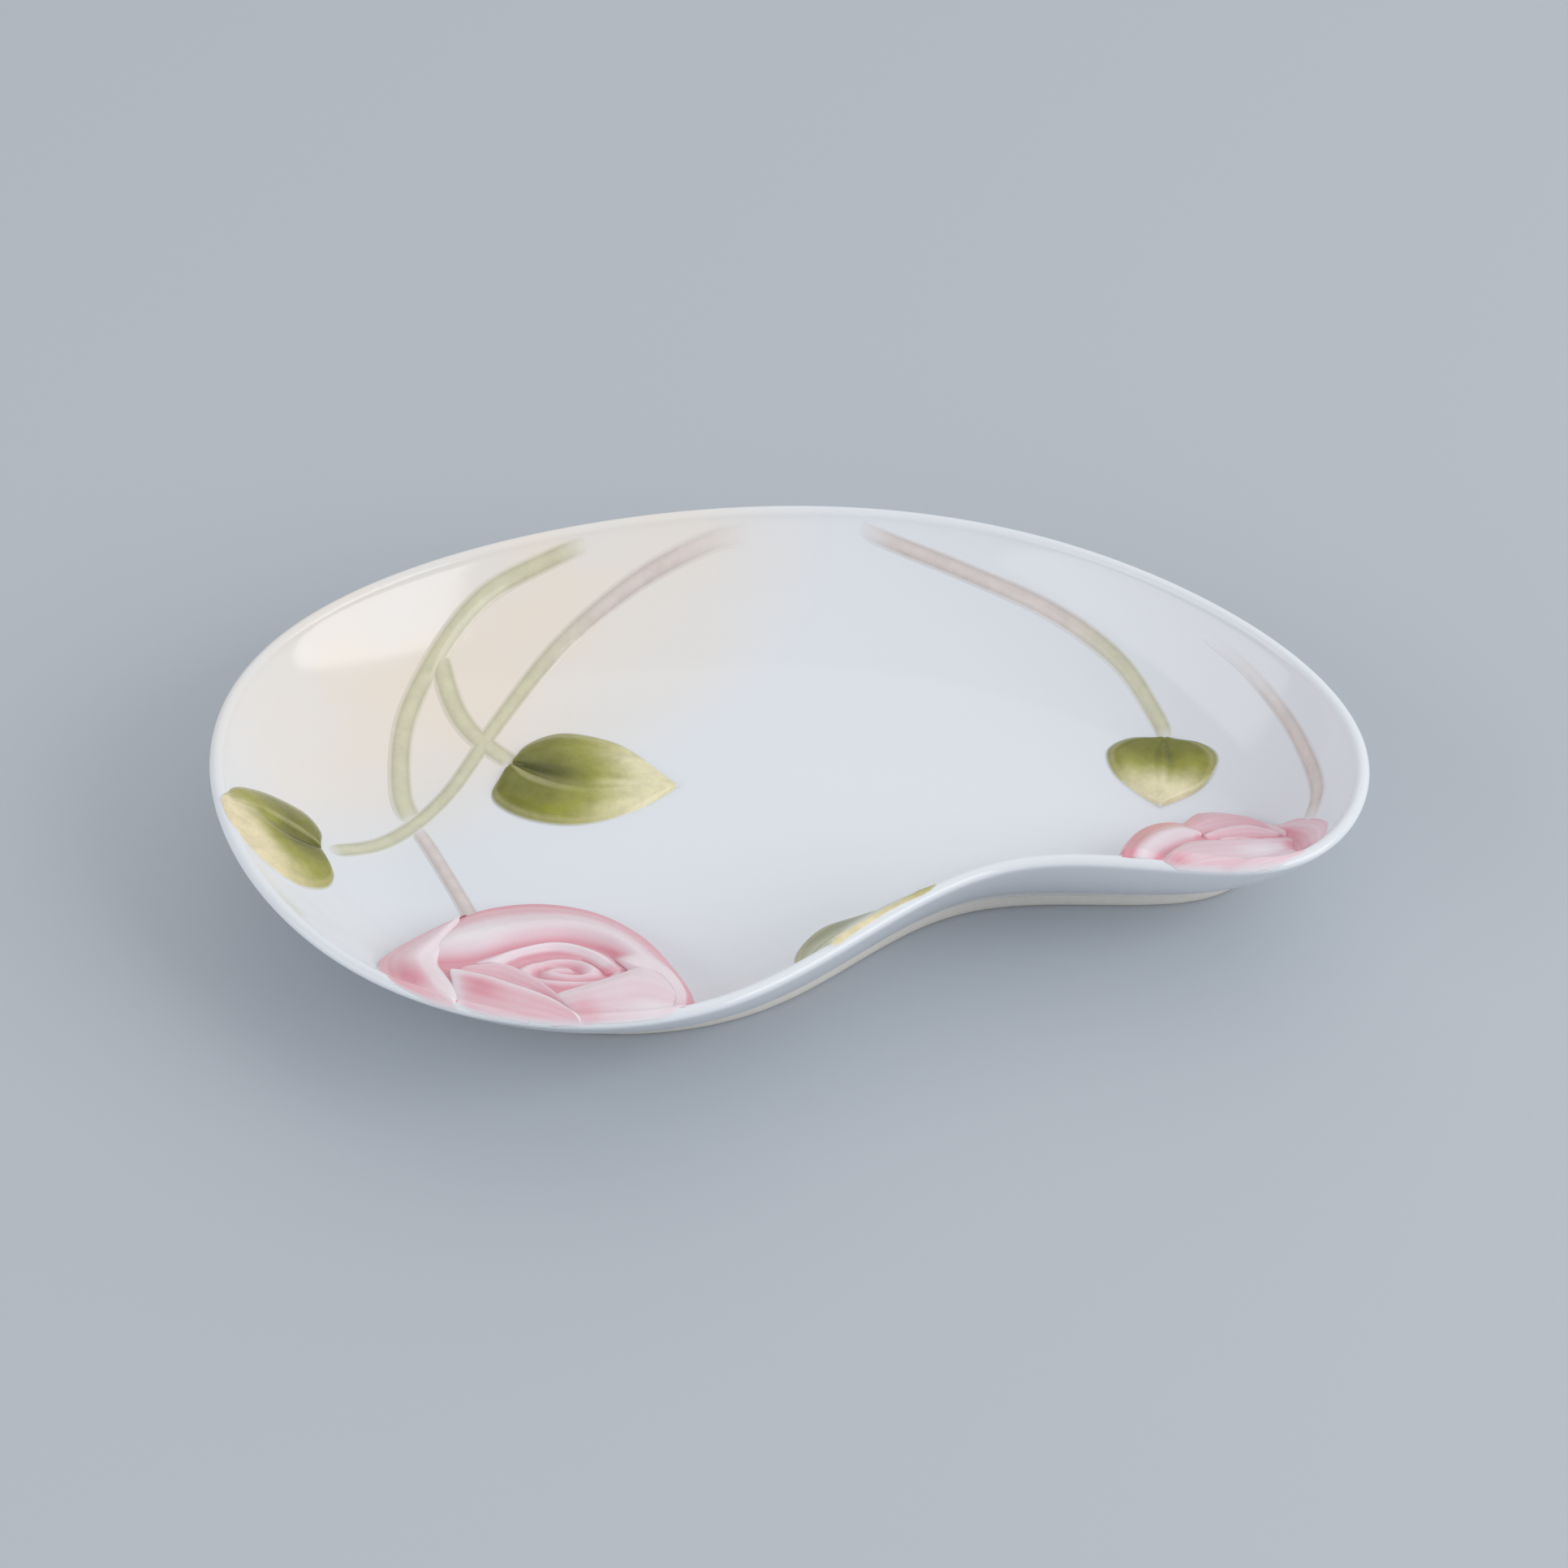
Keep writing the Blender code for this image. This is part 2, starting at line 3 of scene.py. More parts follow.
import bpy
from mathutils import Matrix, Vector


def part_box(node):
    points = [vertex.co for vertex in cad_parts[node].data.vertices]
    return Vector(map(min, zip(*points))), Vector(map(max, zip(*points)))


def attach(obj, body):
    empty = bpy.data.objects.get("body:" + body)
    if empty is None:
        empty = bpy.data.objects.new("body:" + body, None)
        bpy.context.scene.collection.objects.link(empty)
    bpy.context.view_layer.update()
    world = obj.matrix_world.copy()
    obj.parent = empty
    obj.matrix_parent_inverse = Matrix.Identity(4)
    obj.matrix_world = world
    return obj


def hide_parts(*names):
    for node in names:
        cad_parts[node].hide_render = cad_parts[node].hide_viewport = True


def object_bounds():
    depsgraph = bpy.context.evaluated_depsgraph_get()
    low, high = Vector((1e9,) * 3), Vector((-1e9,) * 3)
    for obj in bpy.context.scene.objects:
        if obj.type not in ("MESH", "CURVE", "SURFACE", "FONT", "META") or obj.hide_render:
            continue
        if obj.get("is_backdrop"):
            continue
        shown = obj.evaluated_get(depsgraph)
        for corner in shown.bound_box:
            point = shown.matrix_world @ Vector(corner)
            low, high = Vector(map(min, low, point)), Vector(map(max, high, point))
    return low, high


bl_info = {
    "name": "Rose Saucer",
    "version": (1, 0, 0),
    "blender": (4, 5, 0),
    "location": "View3D > Sidebar > Saucer",
    "description": "Models a kidney-shaped porcelain saucer with painted relief, and its studio",
    "category": "Add Mesh",
}

import math
from functools import cache, cached_property
from typing import NamedTuple

import bmesh
import bpy
import numpy as np
from bpy.props import FloatProperty, FloatVectorProperty, PointerProperty
from mathutils import Quaternion, Vector
from mathutils.bvhtree import BVHTree

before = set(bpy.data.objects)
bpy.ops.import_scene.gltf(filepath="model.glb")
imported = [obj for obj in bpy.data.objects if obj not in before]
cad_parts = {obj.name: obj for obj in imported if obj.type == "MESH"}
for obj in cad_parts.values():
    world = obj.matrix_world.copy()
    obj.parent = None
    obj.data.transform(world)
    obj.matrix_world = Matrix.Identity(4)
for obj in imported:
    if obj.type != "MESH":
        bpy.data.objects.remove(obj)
CAD_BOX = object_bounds()
DISH_LOW, DISH_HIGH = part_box("dish")
BODY = "root"

# Plan drawing in millimetres, stretched to the dish's box; outlines run anticlockwise from the left end
MILLIMETRE = 0.001
RIM_DRAWING = (
    (-69.9, -4.7), (-47.8, -39.0), (-7.0, -42.7), (26.8, -20.1), (59.0, -19.8),
    (69.9, 2.6), (36.8, 38.7), (-16.8, 45.3), (-61.1, 24.5),
)
FOOT_DRAWING = (
    (-50.3, -0.7), (-36.2, -25.9), (-3.7, -26.5), (22.3, -9.3), (50.2, -7.3),
    (57.4, 5.4), (27.5, 25.5), (-15.0, 29.0), (-44.0, 15.0),
)
FLOOR_DRAWING = (
    (-44.3, -0.4), (-32.8, -20.6), (-4.6, -20.8), (22.2, -3.2), (46.5, -2.2),
    (50.8, 5.0), (24.8, 19.8), (-14.0, 23.0), (-38.8, 11.8),
)
FLOOR_CENTRE = (12.0, 8.0)


class StemDrawing(NamedTuple):
    """A stem: its widths in millimetres, its two tints, where they change, how its ends fade, its route."""

    foot_width: float
    far_width: float
    foot_tint: str
    far_tint: str
    change: float
    foot_fade: float
    far_fade: float
    route: tuple


STEMS = {
    "stem_long": StemDrawing(2.6, 2.2, "stem_green", "stem_brown", 0.62, 0.03, 0.2, (
        (-56.5, -7.0), (-49.2, -2.2), (-42.6, 6.3), (-36.5, 19.6), (-29.5, 30.2), (-20.4, 37.9),
        (-10.6, 42.6), (-2.8, 44.1),
    )),
    "stem_arc": StemDrawing(3.5, 1.6, "stem_green", "stem_green", 0.5, 0.06, 0.12, (
        (-46.1, 0.9), (-48.1, 6.5), (-48.2, 16.8), (-44.6, 26.2), (-38.7, 33.8), (-30.1, 38.9), (-24.4, 41.3),
    )),
    "stem_leaf": StemDrawing(3.4, 3.2, "stem_green", "stem_green", 0.5, 0.08, 0.06, (
        (-44.4, 27.0), (-43.3, 23.6), (-42.0, 20.5), (-40.0, 17.6), (-37.6, 15.3), (-34.6, 12.5),
    )),
    "stem_rose": StemDrawing(2.2, 2.4, "stem_brown", "stem_brown", 0.5, 0.1, 0.03, (
        (-46.1, 0.9), (-43.5, -4.0), (-39.1, -13.4), (-37.6, -17.2),
    )),
    "stem_back": StemDrawing(1.7, 2.4, "stem_brown", "stem_green", 0.65, 0.14, 0.04, (
        (7.7, 44.5), (21.0, 39.5), (32.9, 33.4), (41.6, 26.0), (46.3, 18.1), (47.2, 14.8),
    )),
    "stem_side": StemDrawing(0.9, 2.1, "stem_brown", "stem_brown", 0.5, 0.65, 0.1, (
        (50.8, 26.0), (57.3, 18.6), (62.3, 9.7), (64.5, 0.5), (62.7, -5.5),
    )),
}


class LeafDrawing(NamedTuple):
    """A leaf from stalk to tip: its right edge, midrib and left edge, its crease, and where its green turns.

    The crease has a strength and a reach along the leaf. The slant moves the turn of the green towards the
    stalk on the left side and towards the tip on the right side. The bow moves it towards the tip on both.
    """

    right: tuple
    rib: tuple
    left: tuple
    crease: float
    reach: float
    green_until: float
    yellow_from: float
    slant: float = 0.0
    bow: float = 0.0
    tip_tint: str = "leaf_yellow"


LEAVES = {
    "leaf_centre": LeafDrawing(
        ((-35.6, 11.2), (-37.0, 5.9), (-32.8, 2.1), (-25.9, 1.0), (-18.8, 3.7), (-13.7, 8.1)),
        ((-34.9, 12.2), (-30.7, 9.5), (-27.0, 7.9), (-24.1, 7.4), (-19.5, 7.6), (-13.7, 8.1)),
        ((-34.6, 12.9), (-32.8, 16.1), (-28.3, 18.2), (-21.8, 16.4), (-17.3, 12.4), (-13.7, 8.1)),
        crease=1.0, reach=0.62, green_until=0.39, yellow_from=0.63, slant=0.03,
    ),
    # Its slant pales the lower lobe sooner: partly its yellow paint, partly a painted reflection of the glaze
    # along its lower edge
    "leaf_left": LeafDrawing(
        ((-57.1, -6.8), (-57.1, -3.8), (-59.4, -1.3), (-63.6, -1.4), (-66.9, -3.9), (-68.0, -8.0)),
        ((-56.9, -7.6), (-60.7, -8.6), (-64.8, -8.4), (-68.3, -8.3)),
        ((-56.5, -8.3), (-55.0, -11.3), (-55.6, -15.2), (-58.7, -18.0), (-62.6, -17.0), (-66.3, -13.4),
         (-68.2, -8.9)),
        crease=0.8, reach=0.85, green_until=0.44, yellow_from=0.74, slant=0.34, tip_tint="leaf_orange",
    ),
    "leaf_right": LeafDrawing(
        ((46.9, 15.8), (42.4, 16.5), (39.6, 14.8), (40.1, 10.8), (42.8, 7.1), (45.9, 4.4)),
        ((47.1, 15.6), (46.8, 12.5), (46.4, 8.5), (45.9, 4.4)),
        ((47.3, 15.7), (51.4, 13.9), (53.6, 11.4), (52.2, 8.4), (49.4, 6.2), (45.9, 4.4)),
        crease=0.0, reach=0.5, green_until=0.38, yellow_from=0.58, bow=0.12,
    ),
    "leaf_notch": LeafDrawing(
        ((13.4, -15.6), (8.5, -15.4), (3.9, -16.8), (0.7, -21.8), (1.0, -27.5), (4.4, -33.6)),
        ((13.8, -15.8), (10.2, -21.5), (7.0, -28.0), (4.8, -33.7)),
        ((14.4, -16.0), (18.0, -19.5), (17.2, -23.9), (12.8, -27.1), (8.8, -30.4), (5.2, -33.8)),
        crease=0.3, reach=0.8, green_until=0.3, yellow_from=0.85, slant=0.4, tip_tint="leaf_orange",
    ),
}


class PetalDrawing(NamedTuple):
    """A petal between two seams: its section from the inner to the outer seam, its tones and its blushes.

    Heights stand above the slope that the rose fills, in millimetres, at the inner seam, the crest and the
    outer seam. The inner side is creased until a share of the way along and flush with the crest beyond it.
    Tones run from -1, white, over 0, pale, to 1, deep pink, at the places of TONE_STEPS. White stands partly
    for the pink running thin on a crest and partly for a painted highlight. A blush is a deeper or paler
    patch: its place along and across, its size along and across, and its strength.
    """

    inner: str
    outer: str
    crest: float
    heights: tuple
    tones: tuple
    blushes: tuple
    creased_until: float = 1.2


class RoseDrawing(NamedTuple):
    """A rose: the ends of the slope it fills, on the floor and on the rim, its heart, seams and petals.

    The heart is an oval with its middle and two radii, and its folds reach a height above the slope, all in
    millimetres. Seams whose names start with edge are its outline.
    """

    low: tuple
    rim: tuple
    heart: tuple
    radii: tuple
    bud: float
    seams: dict
    petals: dict


LARGE_SEAMS = {
    "edge_back": ((-40.2, -19.4), (-38.7, -17.8), (-36.0, -15.4), (-30.0, -13.9), (-23.4, -16.2),
                  (-17.6, -23.0), (-13.3, -33.1), (-11.6, -39.0), (-11.6, -43.0)),
    "edge_left": ((-39.0, -17.6), (-43.0, -22.5), (-47.3, -29.0), (-48.2, -32.4), (-46.6, -38.6),
                  (-41.5, -42.3), (-38.6, -43.4)),
    "edge_front": ((-37.7, -43.4), (-34.5, -45.0), (-31.2, -46.0), (-28.2, -46.4), (-24.4, -46.2)),
    "edge_right": ((-23.4, -46.2), (-20.0, -46.2), (-16.6, -45.9), (-13.6, -44.7), (-12.0, -42.6)),
    "fold_back": ((-42.6, -31.4), (-41.4, -30.9), (-37.2, -30.0), (-33.2, -27.1), (-27.6, -24.4),
                  (-22.4, -26.6), (-18.4, -31.6), (-14.8, -34.0), (-12.6, -39.2), (-12.6, -43.0)),
    "fold_left": ((-39.4, -18.2), (-40.6, -25.0), (-41.9, -30.4), (-40.6, -34.5), (-39.0, -38.6),
                  (-38.4, -42.8)),
    "crest_front": ((-39.0, -33.4), (-35.4, -35.4), (-32.5, -37.5), (-29.7, -39.5), (-27.1, -41.7),
                    (-24.2, -45.4)),
    "crest_right": ((-26.4, -38.9), (-23.4, -36.8), (-20.2, -34.3), (-18.0, -32.8), (-15.2, -34.8),
                    (-12.6, -39.6)),
    "lap_back": ((-36.9, -30.4), (-33.1, -27.2), (-27.6, -24.6), (-22.6, -26.8), (-19.0, -31.4)),
    "fold_inner": ((-33.0, -30.8), (-31.0, -28.6), (-27.6, -27.2), (-24.2, -28.8), (-21.4, -32.6)),
    "crest_inner": ((-37.6, -32.2), (-35.1, -31.6), (-33.4, -31.6), (-31.1, -33.6), (-28.9, -36.3),
                    (-27.4, -38.6)),
}
LARGE_PETALS = {
    # Its white blush near the lip is a painted highlight, the reflection of a lamp
    "right_petal": PetalDrawing(
        "crest_right", "edge_right", 0.2, (0.5, 1.0, 0.3), (-0.3, -0.05, 0.1, 0.2, 0.1),
        ((0.95, 0.7, 0.07, 0.3, 0.8), (0.65, 0.8, 0.2, 0.14, -0.9), (0.1, 0.7, 0.12, 0.4, 0.5)),
        creased_until=0.6),
    # Its tones whiten the middle of the band: a painted highlight along its crest
    "back_petal": PetalDrawing(
        "fold_back", "edge_back", 0.45, (-0.4, 1.1, 0.1), (1.0, 0.4, -0.4, 0.5, 0.8),
        ((0.62, 0.02, 0.08, 0.2, 0.8), (0.12, 0.4, 0.1, 0.25, -0.6), (0.97, 0.7, 0.08, 0.6, 0.7)),
        creased_until=0.68),
    "left_petal": PetalDrawing(
        "fold_left", "edge_left", 0.3, (0.3, 0.9, 0.0), (-0.5, -0.35, 0.2, 0.45, 0.6),
        ((0.68, 0.5, 0.13, 0.35, 0.8), (0.9, 0.2, 0.15, 0.4, -0.4))),
    "front_petal": PetalDrawing(
        "crest_front", "edge_front", 0.08, (0.8, 1.0, 0.1), (-0.6, 0.45, 0.5, 0.45, 0.3),
        ((0.22, 0.35, 0.14, 0.3, 0.5), (0.02, 0.4, 0.05, 0.8, -0.9))),
    "inner_back_petal": PetalDrawing(
        "fold_inner", "lap_back", 0.5, (-0.3, 0.6, -0.3), (0.8, -0.15, -0.5, -0.2, 0.8),
        ((0.97, 0.5, 0.08, 0.8, 0.9),)),
    "inner_front_petal": PetalDrawing(
        "crest_inner", "crest_front", 0.12, (0.3, 0.6, -0.3), (0.0, 0.3, 0.45, 0.6, 0.95),
        ((0.75, 0.8, 0.12, 0.3, 0.3),)),
}
SMALL_SEAMS = {
    "edge_back": ((47.8, -4.4), (48.7, -2.2), (50.2, 1.2), (52.9, 2.3), (56.0, 0.8), (58.6, -2.2),
                  (60.2, -3.8)),
    "edge_left": ((39.5, -18.0), (40.8, -13.1), (42.4, -8.3), (44.4, -4.9), (46.5, -3.6),
                  (48.3, -4.5), (49.6, -7.4)),
    "edge_front": ((47.0, -21.3), (50.4, -21.2), (54.0, -20.9), (57.3, -20.2), (60.6, -18.3)),
    "edge_right": ((59.4, -1.9), (61.8, -2.4), (64.0, -5.2), (64.9, -9.0), (63.6, -14.4)),
    "fold_back": ((49.2, -7.6), (50.3, -6.2), (52.4, -4.0), (55.6, -1.7), (57.6, -2.8),
                  (58.8, -4.6), (60.0, -6.2)),
    "fold_left": ((43.6, -18.8), (45.4, -15.5), (47.6, -12.3), (49.6, -9.2)),
    "crest_front": ((46.6, -20.4), (50.0, -20.1), (53.4, -19.8), (56.4, -17.4), (60.0, -13.7)),
    "crest_right": ((60.0, -4.8), (60.8, -6.6), (61.3, -9.0), (61.0, -12.0), (61.0, -15.4)),
    "lap_back": ((50.2, -8.0), (52.3, -4.6), (55.6, -2.1), (57.8, -3.4), (59.3, -6.0)),
    "fold_inner": ((50.6, -9.4), (53.0, -8.0), (56.0, -6.8), (59.2, -6.6)),
    "crest_inner": ((44.9, -18.9), (46.4, -15.6), (48.4, -12.8), (52.0, -11.6), (56.0, -10.2),
                    (60.2, -8.6)),
}
SMALL_PETALS = {
    "right_petal": PetalDrawing(
        "crest_right", "edge_right", 0.45, (-0.3, 0.4, 0.0), (0.9, 0.8, 0.45, 0.15, 0.5),
        ((0.15, 0.25, 0.15, 0.3, 0.3), (0.9, 0.3, 0.1, 0.4, 0.4))),
    "back_petal": PetalDrawing(
        "fold_back", "edge_back", 0.65, (-0.2, 0.4, 0.1), (0.6, 0.5, 0.5, 0.6, 0.8),
        ((0.9, 0.5, 0.12, 0.5, -0.3),)),
    "left_petal": PetalDrawing(
        "fold_left", "edge_left", 0.6, (-0.3, 0.6, 0.1), (1.0, 0.2, -0.4, 1.0, 1.0),
        ((0.95, 0.2, 0.08, 0.3, 0.6),)),
    "front_petal": PetalDrawing(
        "crest_front", "edge_front", 0.4, (0.2, 0.4, 0.1), (0.3, 0.2, 0.2, 0.15, 0.1),
        ((0.35, 0.5, 0.06, 0.4, 0.5),)),
    "inner_back_petal": PetalDrawing(
        "fold_inner", "lap_back", 0.55, (-0.3, 0.4, -0.2), (0.65, 0.45, 0.3, 0.1, 0.45),
        ((0.95, 0.6, 0.1, 0.5, -0.2),)),
    # Its white blush towards the right end is a painted highlight, the reflection of a lamp
    "inner_front_petal": PetalDrawing(
        "crest_inner", "crest_front", 0.12, (0.4, 0.6, 0.1), (0.2, 0.3, 0.3, 0.2, 0.3),
        ((0.97, 0.6, 0.06, 0.4, 0.9), (0.72, 0.65, 0.16, 0.25, -0.9), (0.05, 0.5, 0.08, 0.5, 0.5))),
}
ROSES = {
    "rose_large": RoseDrawing(
        low=(-24.9, -11.0), rim=(-27.3, -46.0), heart=(-26.2, -32.6), radii=(6.4, 4.0), bud=0.35,
        seams=LARGE_SEAMS, petals=LARGE_PETALS,
    ),
    "rose_small": RoseDrawing(
        low=(54.6, 3.9), rim=(51.8, -19.8), heart=(55.4, -9.0), radii=(4.2, 2.0), bud=-0.15,
        seams=SMALL_SEAMS, petals=SMALL_PETALS,
    ),
}

# How finely each piece is modelled before its subdivision surface
AROUND = 192
WALL_STEPS = 14
LIP_STEPS = 8
FLOOR_STEPS = 4
STEM_SPACING = 0.0011
STEM_ROWS = 10
LEAF_GRID = (40, 32)
PETAL_GRID = (48, 28)
HEART_GRID = (56, 56)
LINE_POINTS = 24

# Shares of the way along: the end of a piece that is bedded deeper, and the step that gives a direction
END_SHARE = 0.06
SIDE_STEP = 0.01

# Relief of a petal: how blunt its ends are, how deep they dip, how its edge rolls, how its crease ends
PETAL_TIP = 0.06
END_DIP = 0.25
ROLL_SHARE = 0.4
FLUSH_SHARE = 0.14

# Paint of a petal: where its tones stand between its seams, how it runs out on the dish and over the lip
TONE_STEPS = (0.0, 0.2, 0.45, 0.75, 1.0)
PETAL_FADE = 0.3
LIP_OVERLAP = 0.15
LIP_FADE = 1.5

# Streaks of the brush in a petal: how much they change its tone, how many radians they run across it and
# along it, and where the fine ones set in
FINE_TONE = 0.1
FINE_STREAKS = 48
FINE_SLANT = 3
FINE_FROM = 0.5
FINE_FADE = 0.4
BROAD_TONE = 0.06
BROAD_STREAKS = 27
BROAD_SLANT = -4

# A rose's heart: points of the outline that bound its bed, the turns of its spiral and how uneven they are,
# where its folds end, and their tones
OUTLINE_POINTS = 12
HEART_TURNS = 2.0
HEART_WAVER = 0.5
HEART_LOBES = 3
HEART_END = 0.85
HEART_FADE = 0.3
HEART_TONE = 0.9
HEART_PALE = 0.05
HEART_ROUND = 1.5


class Line(NamedTuple):
    """A soft line along a piece: its place off the middle, 0, towards an edge, its width and its strength."""

    place: float
    width: float
    strength: float

    def at(self, off):
        """How strong the line is at a place across the piece."""
        return self.strength * bell(off - self.place, self.width)


# Paint of a stem: its shade with a light middle and dark sides, how its tints meet, and how it runs out
STEM_SHADE = 0.97
STEM_LIGHT = Line(0.0, 0.4, 0.10)
STEM_DARK = Line(0.62, 0.15, 0.12)
STEM_BLEND = 0.24
STEM_SIDES = 0.4
STEM_COVER = 0.9
STEM_ROUND = 1.5

# Relief of a leaf: how square its section is, how blunt its ends are, and the groove and fold of its crease
LEAF_SQUARE = 3.2
LEAF_TIP = 0.03
LEAF_GROOVE = Line(0.0, 0.09, 1.0)
LEAF_FOLD = Line(-0.2, 0.07, 0.5)
CREASE_START = 0.06
CREASE_FADE = 0.4

# Paint of a leaf: veins; dark lines beside the crease, paint pooled in the groove with painted shade on its
# shaded side; a light line beside it, a painted highlight on the fold; its pale rim, a painted highlight of
# the glaze; and how its tints meet
LEAF_VEINS = (Line(-0.1, 0.06, 1.0), Line(0.14, 0.08, 1.0))
LEAF_CREASE_POOLS_AND_SHADE = (Line(0.03, 0.05, 0.45), Line(0.15, 0.15, 0.25))
LEAF_FOLD_HIGHLIGHT = Line(-0.22, 0.04, 0.45)
LEAF_RIM_HIGHLIGHT = Line(0.9, 0.06, 0.3)
GREEN_BLEND = 0.3
YELLOW_BLEND = 0.35
LEAF_WAVER = 0.03
LEAF_WAVES = 9
VEIN_REACH = 0.06
VEIN_DEPTH = 0.25
VEIN_END = 0.6
VEIN_FADE = 0.3

# Where the paint of a leaf runs out, at its sides, its stalk and its tip, and where the painted highlight
# along its rim starts
SIDE_FADE = 0.06
STALK_FADE = 0.02
TIP_FADE = 0.03
RIM_HIGHLIGHT_START = 0.1

# The warm cream tint in the glaze, on the left of the dish: its middle, its turn, its reach along its axes,
# and its strength
CREAM_PLACE = (-0.040, 0.027, 0.012)
CREAM_TURN = (0.0, 0.0, math.radians(35))
CREAM_REACH = (0.055, 0.028, 0.030)
CREAM_STRENGTH = 2.4

# Noise lies mostly between the first two values, and smears change a glaze's roughness by the other two
NOISE_LOW = 0.3
NOISE_HIGH = 0.7
SMEAR_LOW = 0.8
SMEAR_HIGH = 1.25


class Lamp(NamedTuple):
    """A soft box: where it stands, its width and height, and how far it is rolled about its own axis."""

    place: tuple
    size: tuple
    roll: float = 0.0


LAMPS = {
    "key": Lamp((0.71, -0.31, 0.475), (0.62, 0.55), math.radians(-37)),
    "back": Lamp((0.45, 0.60, 0.62), (2.2, 1.6)),
    "fill": Lamp((-0.72, -0.34, 0.40), (0.8, 0.6)),
}
TABLE_REACH = 3


def in_metres(name, description, default):
    """A length that can be set."""
    return FloatProperty(name=name, description=description, default=default, unit="LENGTH")


def in_watts(name, description, default):
    """A lamp's power that can be set."""
    return FloatProperty(name=name, description=description, default=default, unit="POWER")


def as_colour(name, description, default):
    """A colour that can be set."""
    return FloatVectorProperty(name=name, description=description, default=default, subtype="COLOR")


class SaucerSizes(bpy.types.PropertyGroup):
    """Sizes of the dish and of the relief on it."""

    length: in_metres("Length", "Across the dish's long axis, rim to rim", DISH_HIGH.x - DISH_LOW.x)
    width: in_metres("Width", "Across the dish's short axis, rim to rim", DISH_HIGH.y - DISH_LOW.y)
    rim_height: in_metres("Rim Height", "Top of the lip above the table", DISH_HIGH.z)
    underside: in_metres("Underside", "Bottom of the dish above the table", DISH_LOW.z)
    foot_width: in_metres("Foot Width", "Width of the ring that the dish stands on", 0.003)
    lip_thickness: in_metres("Lip Thickness", "Thickness of the rounded lip", 0.0018)
    floor_thickness: in_metres("Floor Thickness", "Thickness of the dish in the middle", 0.003)
    outer_leans: FloatVectorProperty(
        name="Outer Leans", description="Lean of the outer wall's arc at the foot and at the lip",
        default=(math.radians(40), math.radians(55)), size=2, subtype="EULER",
    )
    inner_leans: FloatVectorProperty(
        name="Inner Leans", description="Lean of the inner wall's arc at the floor and at the lip",
        default=(0.0, math.radians(35)), size=2, subtype="EULER",
    )
    tuck: in_metres("Tuck", "How far a petal reaches under its neighbour", 0.0007)
    tuck_depth: in_metres("Tuck Depth", "How deep a petal dips where it is tucked under", 0.0006)
    sink: in_metres("Sink", "How deep the relief is bedded in the dish", 0.0002)
    wash: in_metres("Wash", "Thickness of the paint where a stroke thins out", 0.00004)
    stem_height: in_metres("Stem Height", "Height of a stem in the middle of its stroke", 0.0002)
    leaf_crown: in_metres("Leaf Crown", "Height of a leaf at its fullest", 0.0015)
    leaf_margin: in_metres("Leaf Margin", "Distance from the rim over which a leaf thins out", 0.004)
    leaf_groove: in_metres("Leaf Groove", "Depth of the crease along a leaf's midrib", 0.00035)
    petal_edge: in_metres("Petal Edge", "Thickness of a petal where it leaves the dish", 0.0004)
    heart_rise: in_metres("Heart Rise", "Height of the folds in a rose's heart", 0.0011)
    heart_depth: in_metres(
        "Heart Depth", "How deep the bed round a rose's heart lies under its petals", 0.00035,
    )
    heart_margin: in_metres(
        "Heart Margin", "Distance from the bed of a rose's heart to the rose's outline", 0.0004,
    )


class SaucerColours(bpy.types.PropertyGroup):
    """Colours of the glaze, the clay and the paint."""

    glaze: as_colour("Glaze", "Cool white of the glaze", (0.80, 0.825, 0.865))
    # A warm cream tint on the left of the dish
    cream: as_colour("Cream", "Warm blush on the left of the dish", (0.88, 0.79, 0.69))
    biscuit: as_colour("Biscuit", "Bare clay of the foot", (0.78, 0.75, 0.70))
    petal_pale: as_colour("Pale Petal", "Body of a petal", (0.865, 0.70, 0.75))
    # White of the crests, which also stands for painted highlights on the petals
    petal_white_and_highlight: as_colour("Light Petal", "White of a petal's crest", (0.92, 0.86, 0.885))
    petal_deep: as_colour("Deep Petal", "Pink that gathers in the folds", (0.77, 0.31, 0.38))
    leaf_dark: as_colour("Dark Leaf", "Olive green at the stalk", (0.18, 0.185, 0.016))
    leaf_mid: as_colour("Leaf", "Moss green in the middle of a leaf", (0.34, 0.335, 0.05))
    leaf_yellow: as_colour("Yellow Leaf", "Straw yellow at the tip", (0.82, 0.755, 0.48))
    leaf_orange: as_colour(
        "Orange Leaf", "Warm yellow at the tips of the leaves by the rim", (0.83, 0.72, 0.45),
    )
    stem_green: as_colour("Green Stem", "Sage green of the stems", (0.60, 0.58, 0.39))
    stem_brown: as_colour("Brown Stem", "Mauve brown of the stems", (0.67, 0.58, 0.545))


class SaucerStudio(bpy.types.PropertyGroup):
    """Camera, lights and floor."""

    target: FloatVectorProperty(
        name="Target", description="Point in the middle of the picture",
        default=(-0.00058, 0.00518, 0.00797), subtype="TRANSLATION",
    )
    distance: in_metres("Distance", "From the camera to its target", 0.6085)
    elevation: FloatProperty(
        name="Elevation", description="Camera's height above the table, as an angle",
        default=math.radians(43), subtype="ANGLE",
    )
    field: FloatProperty(
        name="Field of View", description="Angle across the square picture",
        default=math.radians(18), subtype="ANGLE",
    )
    floor: as_colour("Floor", "Colour of the table", (0.50, 0.535, 0.58))
    sky: as_colour("Sky", "Colour of the light from all sides", (0.93, 0.965, 1.0))
    sky_strength: FloatProperty(
        name="Sky Strength", description="Strength of the light from all sides",
        default=0.56,
    )
    key_power: in_watts("Key Power", "Power of the soft box at the front on the right", 3.0)
    back_power: in_watts("Back Power", "Power of the wide soft box at the back on the right", 3.8)
    fill_power: in_watts("Fill Power", "Power of the soft box on the left", 1.8)


